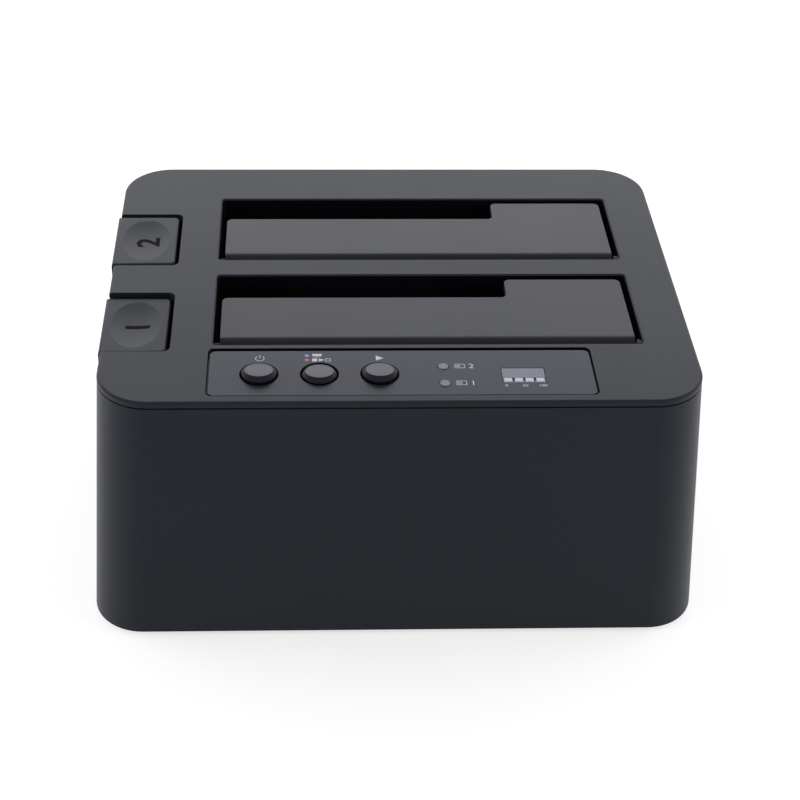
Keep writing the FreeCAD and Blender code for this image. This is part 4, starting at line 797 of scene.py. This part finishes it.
def make_port_contacts():
    """Contact strips above and below the square port's tongue and over the flat port's."""
    mesh = bmesh.new()
    square, flat = (middle_of(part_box(node)) for node in ("usb_port", "esata_port"))
    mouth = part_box("usb_port")[1].y
    for side in (-1, 1):
        strip = bmesh.new()
        bar(strip, Vector((square.x - SQUARE_PITCH / 2, mouth - SQUARE_CONTACT_DEPTH,
                           square.z + side * SQUARE_CONTACT_RISE)),
            SQUARE_CONTACT, SQUARE_CONTACT_ROUNDING)
        add_row(mesh, strip, 2, (SQUARE_PITCH, 0, 0), "contact_gold")
    strip = bmesh.new()
    first = flat.x - (FLAT_COUNT - 1) / 2 * CONTACT_PITCH
    bar(strip, Vector((first, mouth - FLAT_CONTACT_DEPTH, flat.z + FLAT_CONTACT_RISE)),
        FLAT_CONTACT, FLAT_CONTACT_ROUNDING)
    add_row(mesh, strip, FLAT_COUNT, (CONTACT_PITCH, 0, 0), "contact_gold")
    add_piece("port_contacts", mesh, "case", "contact_gold")


def make_jack_pin():
    """The metal pin in the power jack, turned about its length and laid along Y."""
    low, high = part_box("power_jack")
    outline = [(0, PIN_START), (PIN_RADIUS, PIN_START), (PIN_RADIUS, PIN_TIP - 0.5 * MM),
               (PIN_RADIUS * 0.8, PIN_TIP - 0.15 * MM), (PIN_RADIUS * 0.35, PIN_TIP), (0, PIN_TIP)]
    mesh = bmesh.new()
    lathe(mesh, outline, Vector((0, 0)), steps=32)
    place = Matrix.Translation(((low.x + high.x) / 2, high.y, (low.z + high.z) / 2))
    lay_down = Matrix.Rotation(-math.pi / 2, 4, "X")
    bmesh.ops.transform(mesh, verts=mesh.verts, matrix=place @ lay_down)
    add_piece("jack_pin", mesh, "case", "contact_tin")


# ---------------------------------------------------------------- screws and board parts

CASE_CROSS = (3.0 * MM, 0.8 * MM)
BOARD_CROSS = (2.2 * MM, 0.6 * MM)
CROSS_SLIMNESS = 0.3
CROSS_ROUNDING = 0.06 * MM
SLEEVE_DROP = 0.3 * MM
LEG_PITCH = 0.8 * MM
LEG_REACH = 0.7 * MM
LEG_WIDTH = 0.34 * MM
LEG_THICKNESS = 0.16 * MM
LEG_ROUNDING = 0.03 * MM
CHIP_CORNER = 0.6 * MM
RIBBON_WIRES = 10
RIBBON_RIB = 0.45


def make_screws(node, facing, cross):
    """Screws with a cross cut into each head; facing is 1 for heads up and -1 for heads down."""
    arm, depth = cross
    slim = arm * CROSS_SLIMNESS
    cutter = bmesh.new()
    for corners in solids_of(node):
        head = Vector(middle_of(corners))
        head.z = corners[1].z if facing > 0 else corners[0].z
        for size in ((arm, slim, depth * 2), (slim, arm, depth * 2)):
            bar(cutter, head, size, CROSS_ROUNDING)
    cutter_data = bpy.data.meshes.new("cross_cutter")
    cutter.to_mesh(cutter_data)
    cutter.free()
    tool = bpy.data.objects.new("cross_cutter", cutter_data)
    bpy.context.scene.collection.objects.link(tool)
    blank = add_piece(node + "_blank", start_mesh(node), BODY_OF[node], SLOT_OF[node])
    cut = blank.modifiers.new("cross", "BOOLEAN")
    cut.operation = "DIFFERENCE"
    cut.solver = "EXACT"
    cut.use_self = True
    cut.object = tool
    bpy.context.view_layer.update()
    shown = blank.evaluated_get(bpy.context.evaluated_depsgraph_get())
    data = bpy.data.meshes.new_from_object(shown)
    mesh = bmesh.new()
    mesh.from_mesh(data)
    for extra in (blank, tool):
        bpy.data.objects.remove(extra)
    bpy.data.meshes.remove(data)
    stand_in(add_piece(node + "_crossed", mesh, BODY_OF[node], SLOT_OF[node]), node)


def make_capacitors():
    """Sleeved cans with a bare, rolled top."""
    mesh = bmesh.new()
    for low, high in solids_of("capacitors"):
        radius, top, foot = (high.x - low.x) / 2, high.z, low.z
        outline = [(0, top - 0.25 * MM), (radius * 0.7, top - 0.25 * MM), (radius * 0.78, top),
                   (radius * 0.9, top), (radius, top - 0.35 * MM), (radius, foot + 1.4 * MM),
                   (radius * 0.94, foot + 1.1 * MM), (radius, foot + 0.8 * MM), (radius, foot),
                   (0, foot)]
        for face in lathe(mesh, outline, (low + high) / 2, steps=48):
            if min(vert.co.z for vert in face.verts) < top - SLEEVE_DROP:
                face.material_index = 1
    piece = add_piece("capacitors_turned", mesh, "case", "can_aluminium", "can_sleeve")
    stand_in(piece, "capacitors")


def add_leg(mesh, place, edge):
    """One gull-wing leg: toe on the board, riser and shoulder at the chip's edge."""
    toe = (LEG_REACH * 0.75, 0.1 * MM, (LEG_WIDTH, LEG_REACH * 0.6, LEG_THICKNESS))
    riser = (LEG_REACH * 0.35, 0.35 * MM, (LEG_WIDTH, LEG_THICKNESS, 0.6 * MM))
    shoulder = (LEG_REACH * 0.1, 0.62 * MM, (LEG_WIDTH, LEG_REACH * 0.6, LEG_THICKNESS))
    for reach, height, size in (toe, riser, shoulder):
        bar(mesh, Vector((place, edge + reach, height)), size, LEG_ROUNDING)


def make_chip_legs():
    """Legs along the four sides of each chip."""
    mesh = bmesh.new()
    for low, high in solids_of("board_chips"):
        centre = (low + high) / 2
        half = (high.x - low.x) / 2
        count = int(2 * (half - CHIP_CORNER) / LEG_PITCH)
        for quarter in range(4):
            turn = Matrix.Rotation(quarter * math.pi / 2, 4, "Z")
            leg = bmesh.new()
            add_leg(leg, -(count - 1) / 2 * LEG_PITCH, half)
            place = Matrix.Translation((centre.x, centre.y, low.z)) @ turn
            bmesh.ops.transform(leg, verts=leg.verts, matrix=place)
            add_row(mesh, leg, count, turn @ Vector((LEG_PITCH, 0, 0)), "contact_tin")
    add_piece("chip_legs", mesh, "case", "contact_tin")


def ribbon_outline(low, high, steps=8):
    """The cable's section: a row of half waves on each side, one over each wire."""
    pitch = (high.x - low.x) / RIBBON_WIRES
    middle, thick = (low.y + high.y) / 2, (high.y - low.y) / 2
    outline = []
    for side in (1, -1):
        for wire in range(RIBBON_WIRES):
            for step in range(steps):
                along = (wire + step / steps) * pitch
                rib = 1 - RIBBON_RIB + RIBBON_RIB * math.sin(math.pi * step / steps)
                outline.append((low.x + along if side > 0 else high.x - along,
                                middle + side * thick * rib))
    return outline


def make_ribbon():
    """Flat cable with a rib over each of its wires."""
    low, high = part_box("ribbon_cable")
    outline = ribbon_outline(low, high)
    mesh = bmesh.new()
    foot, top = ([mesh.verts.new((x, y, height)) for x, y in outline]
                 for height in (low.z, high.z))
    for place in range(len(outline)):
        following = (place + 1) % len(outline)
        mesh.faces.new((foot[place], foot[following], top[following], top[place]))
    mesh.faces.new(foot)
    mesh.faces.new(top)
    bmesh.ops.recalc_face_normals(mesh, faces=mesh.faces)
    stand_in(add_piece("ribbon_ribbed", mesh, "case", "ribbon_grey"), "ribbon_cable")


# ---------------------------------------------------------------- the object

for node, carried in frame["nodes"].items():
    carried.data.materials.clear()
    carried.data.materials.append(MATERIALS[SLOT_OF[node]])
for node in ("main_housing", "bottom_cover", "rubber_feet", "control_panel",
             "progress_window", "progress_bars", "main_board", "control_board", "board_chips",
             "push_switches", "cable_headers", "power_jack", "esata_port", "lever_pins"):
    soften(node)
paint_shade_on_slot_walls(soften("top_cover"))
paint_port_tongue(soften("usb_port"), "usb_port")
for bay in "12":
    for family in ("bay_well_", "drive_connector_", "eject_button_", "eject_lever_",
                   "led_lens_"):
        soften(family + bay)
    paint_shade_on_door_edge(soften("bay_door_" + bay), "bay_door_" + bay)
    make_eject_spring(bay)
    make_door_spring(bay)
    make_numeral(bay)
    make_drive_contacts(bay)
for node in ("power_button", "mode_button", "start_button"):
    make_push_button(node)
make_panel_print()
make_port_contacts()
make_jack_pin()
make_screws("case_screws", -1, CASE_CROSS)
make_screws("board_screws", 1, BOARD_CROSS)
make_screws("panel_board_screws", -1, BOARD_CROSS)
make_capacitors()
make_chip_legs()
make_ribbon()


# ---------------------------------------------------------------- stage, light and camera

WHITE = (1, 1, 1, 1)
FLOOR_REACH = 6.0
FLOOR_SHADE = 0.48
NEAR_DISTANCE = 0.2
FAR_DISTANCE = 0.8
NEAR_GLOW = 0.62
SOFT_WORLD = 0.35
LIT_MIDDLE = Vector((0, 0, 0.04))
BACK_PLACE = Vector((0.0, 1.05, 0.62))
BACK_SIZE = (2.0, 0.5)
BACK_POWER = 9
STRIP_PLACE = Vector((0.9, 0.08, 0.22))
STRIP_SIZE = (1.2, 0.42)
STRIP_POWER = 15
CAMERA_PLACE = Vector((-0.0242, -0.3874, 0.3155))
CAMERA_PITCH = math.radians(31.49)
CAMERA_YAW = math.radians(-2.32)
CAMERA_ROLL = math.radians(1.14)
CAMERA_LENS = 81.59
SENSOR_WIDTH = 36


def seen(nodes, links):
    """1 for what is seen straight, through a lens or in a reflection, and 0 for soft light."""
    path = nodes.new("ShaderNodeLightPath")
    found = path.outputs["Is Camera Ray"]
    for ray in ("Is Glossy Ray", "Is Transmission Ray"):
        either = nodes.new("ShaderNodeMath")
        either.operation = "MAXIMUM"
        links.new(found, either.inputs[0])
        links.new(path.outputs[ray], either.inputs[1])
        found = either.outputs[0]
    return found


def floor_glow(nodes, links):
    """How white the floor is seen: less near the object, for its shadow, and full far away."""
    distance = nodes.new("ShaderNodeVectorMath")
    distance.operation = "LENGTH"
    links.new(nodes.new("ShaderNodeTexCoord").outputs["Object"], distance.inputs[0])
    fade = nodes.new("ShaderNodeMapRange")
    fade.inputs["From Min"].default_value = NEAR_DISTANCE
    fade.inputs["From Max"].default_value = FAR_DISTANCE
    fade.inputs["To Min"].default_value = NEAR_GLOW
    fade.inputs["To Max"].default_value = 1.0
    links.new(distance.outputs["Value"], fade.inputs["Value"])
    level = nodes.new("ShaderNodeMath")
    level.operation = "MULTIPLY"
    links.new(seen(nodes, links), level.inputs[0])
    links.new(fade.outputs["Result"], level.inputs[1])
    return level.outputs[0]


def make_floor():
    """A wide plain floor that takes soft shadows and fades to white."""
    mesh = bpy.data.meshes.new("floor")
    corners = [(-1, -1), (1, -1), (1, 1), (-1, 1)]
    mesh.from_pydata([(x * FLOOR_REACH, y * FLOOR_REACH, 0) for x, y in corners],
                     [], [(0, 1, 2, 3)])
    floor = bpy.data.objects.new("floor", mesh)
    bpy.context.scene.collection.objects.link(floor)
    material = bpy.data.materials.new("floor_white")
    material.use_nodes = True
    nodes, links = material.node_tree.nodes, material.node_tree.links
    nodes.remove(nodes["Principled BSDF"])
    matt = nodes.new("ShaderNodeBsdfDiffuse")
    matt.inputs["Color"].default_value = (FLOOR_SHADE, FLOOR_SHADE, FLOOR_SHADE, 1)
    glow = nodes.new("ShaderNodeEmission")
    glow.inputs["Color"].default_value = WHITE
    links.new(floor_glow(nodes, links), glow.inputs["Strength"])
    both = nodes.new("ShaderNodeAddShader")
    links.new(matt.outputs[0], both.inputs[0])
    links.new(glow.outputs[0], both.inputs[1])
    links.new(both.outputs[0], nodes["Material Output"].inputs["Surface"])
    mesh.materials.append(material)


def make_world():
    """White to look at, dimmer as soft light."""
    world = bpy.data.worlds.new("studio")
    bpy.context.scene.world = world
    world.use_nodes = True
    nodes, links = world.node_tree.nodes, world.node_tree.links
    background = nodes["Background"]
    background.inputs["Color"].default_value = WHITE
    strength = nodes.new("ShaderNodeMapRange")
    strength.inputs["To Min"].default_value = SOFT_WORLD
    strength.inputs["To Max"].default_value = 1.0
    links.new(seen(nodes, links), strength.inputs["Value"])
    links.new(strength.outputs["Result"], background.inputs["Strength"])


def add_softbox(name, place, size, power):
    """A rectangular lamp aimed at the middle of the object."""
    light = bpy.data.lights.new(name, "AREA")
    light.shape = "RECTANGLE"
    light.size, light.size_y = size
    light.energy = power
    lamp = bpy.data.objects.new(name, light)
    bpy.context.scene.collection.objects.link(lamp)
    lamp.location = place
    lamp.rotation_euler = (LIT_MIDDLE - place).to_track_quat("-Z", "Y").to_euler()
    return lamp


def make_lights():
    """A softbox behind, and a strip at each side that gives soft light but no reflection."""
    add_softbox("back_softbox", BACK_PLACE, BACK_SIZE, BACK_POWER)
    for name, side in (("left_strip", -1), ("right_strip", 1)):
        place = Vector((side * STRIP_PLACE.x, STRIP_PLACE.y, STRIP_PLACE.z))
        strip = add_softbox(name, place, STRIP_SIZE, STRIP_POWER)
        strip.visible_glossy = False


def make_camera():
    """Long lens from the front, a little left of the middle and well above the lid."""
    ahead = Vector((-math.sin(CAMERA_YAW) * math.cos(CAMERA_PITCH),
                    math.cos(CAMERA_YAW) * math.cos(CAMERA_PITCH), -math.sin(CAMERA_PITCH)))
    level = Vector((math.cos(CAMERA_YAW), math.sin(CAMERA_YAW), 0))
    up = level.cross(ahead)
    right = level * math.cos(CAMERA_ROLL) + up * math.sin(CAMERA_ROLL)
    top = up * math.cos(CAMERA_ROLL) - level * math.sin(CAMERA_ROLL)
    data = bpy.data.cameras.new("camera")
    data.lens = CAMERA_LENS
    data.sensor_width = SENSOR_WIDTH
    data.shift_x = 0.05
    data.shift_y = -0.20
    camera = bpy.data.objects.new("camera", data)
    bpy.context.scene.collection.objects.link(camera)
    turned = Matrix((right, top, -ahead)).transposed().to_4x4()
    camera.matrix_world = Matrix.Translation(CAMERA_PLACE) @ turned
    bpy.context.scene.camera = camera


make_floor()
make_world()
make_lights()
make_camera()
bpy.context.scene.view_settings.view_transform = "Standard"
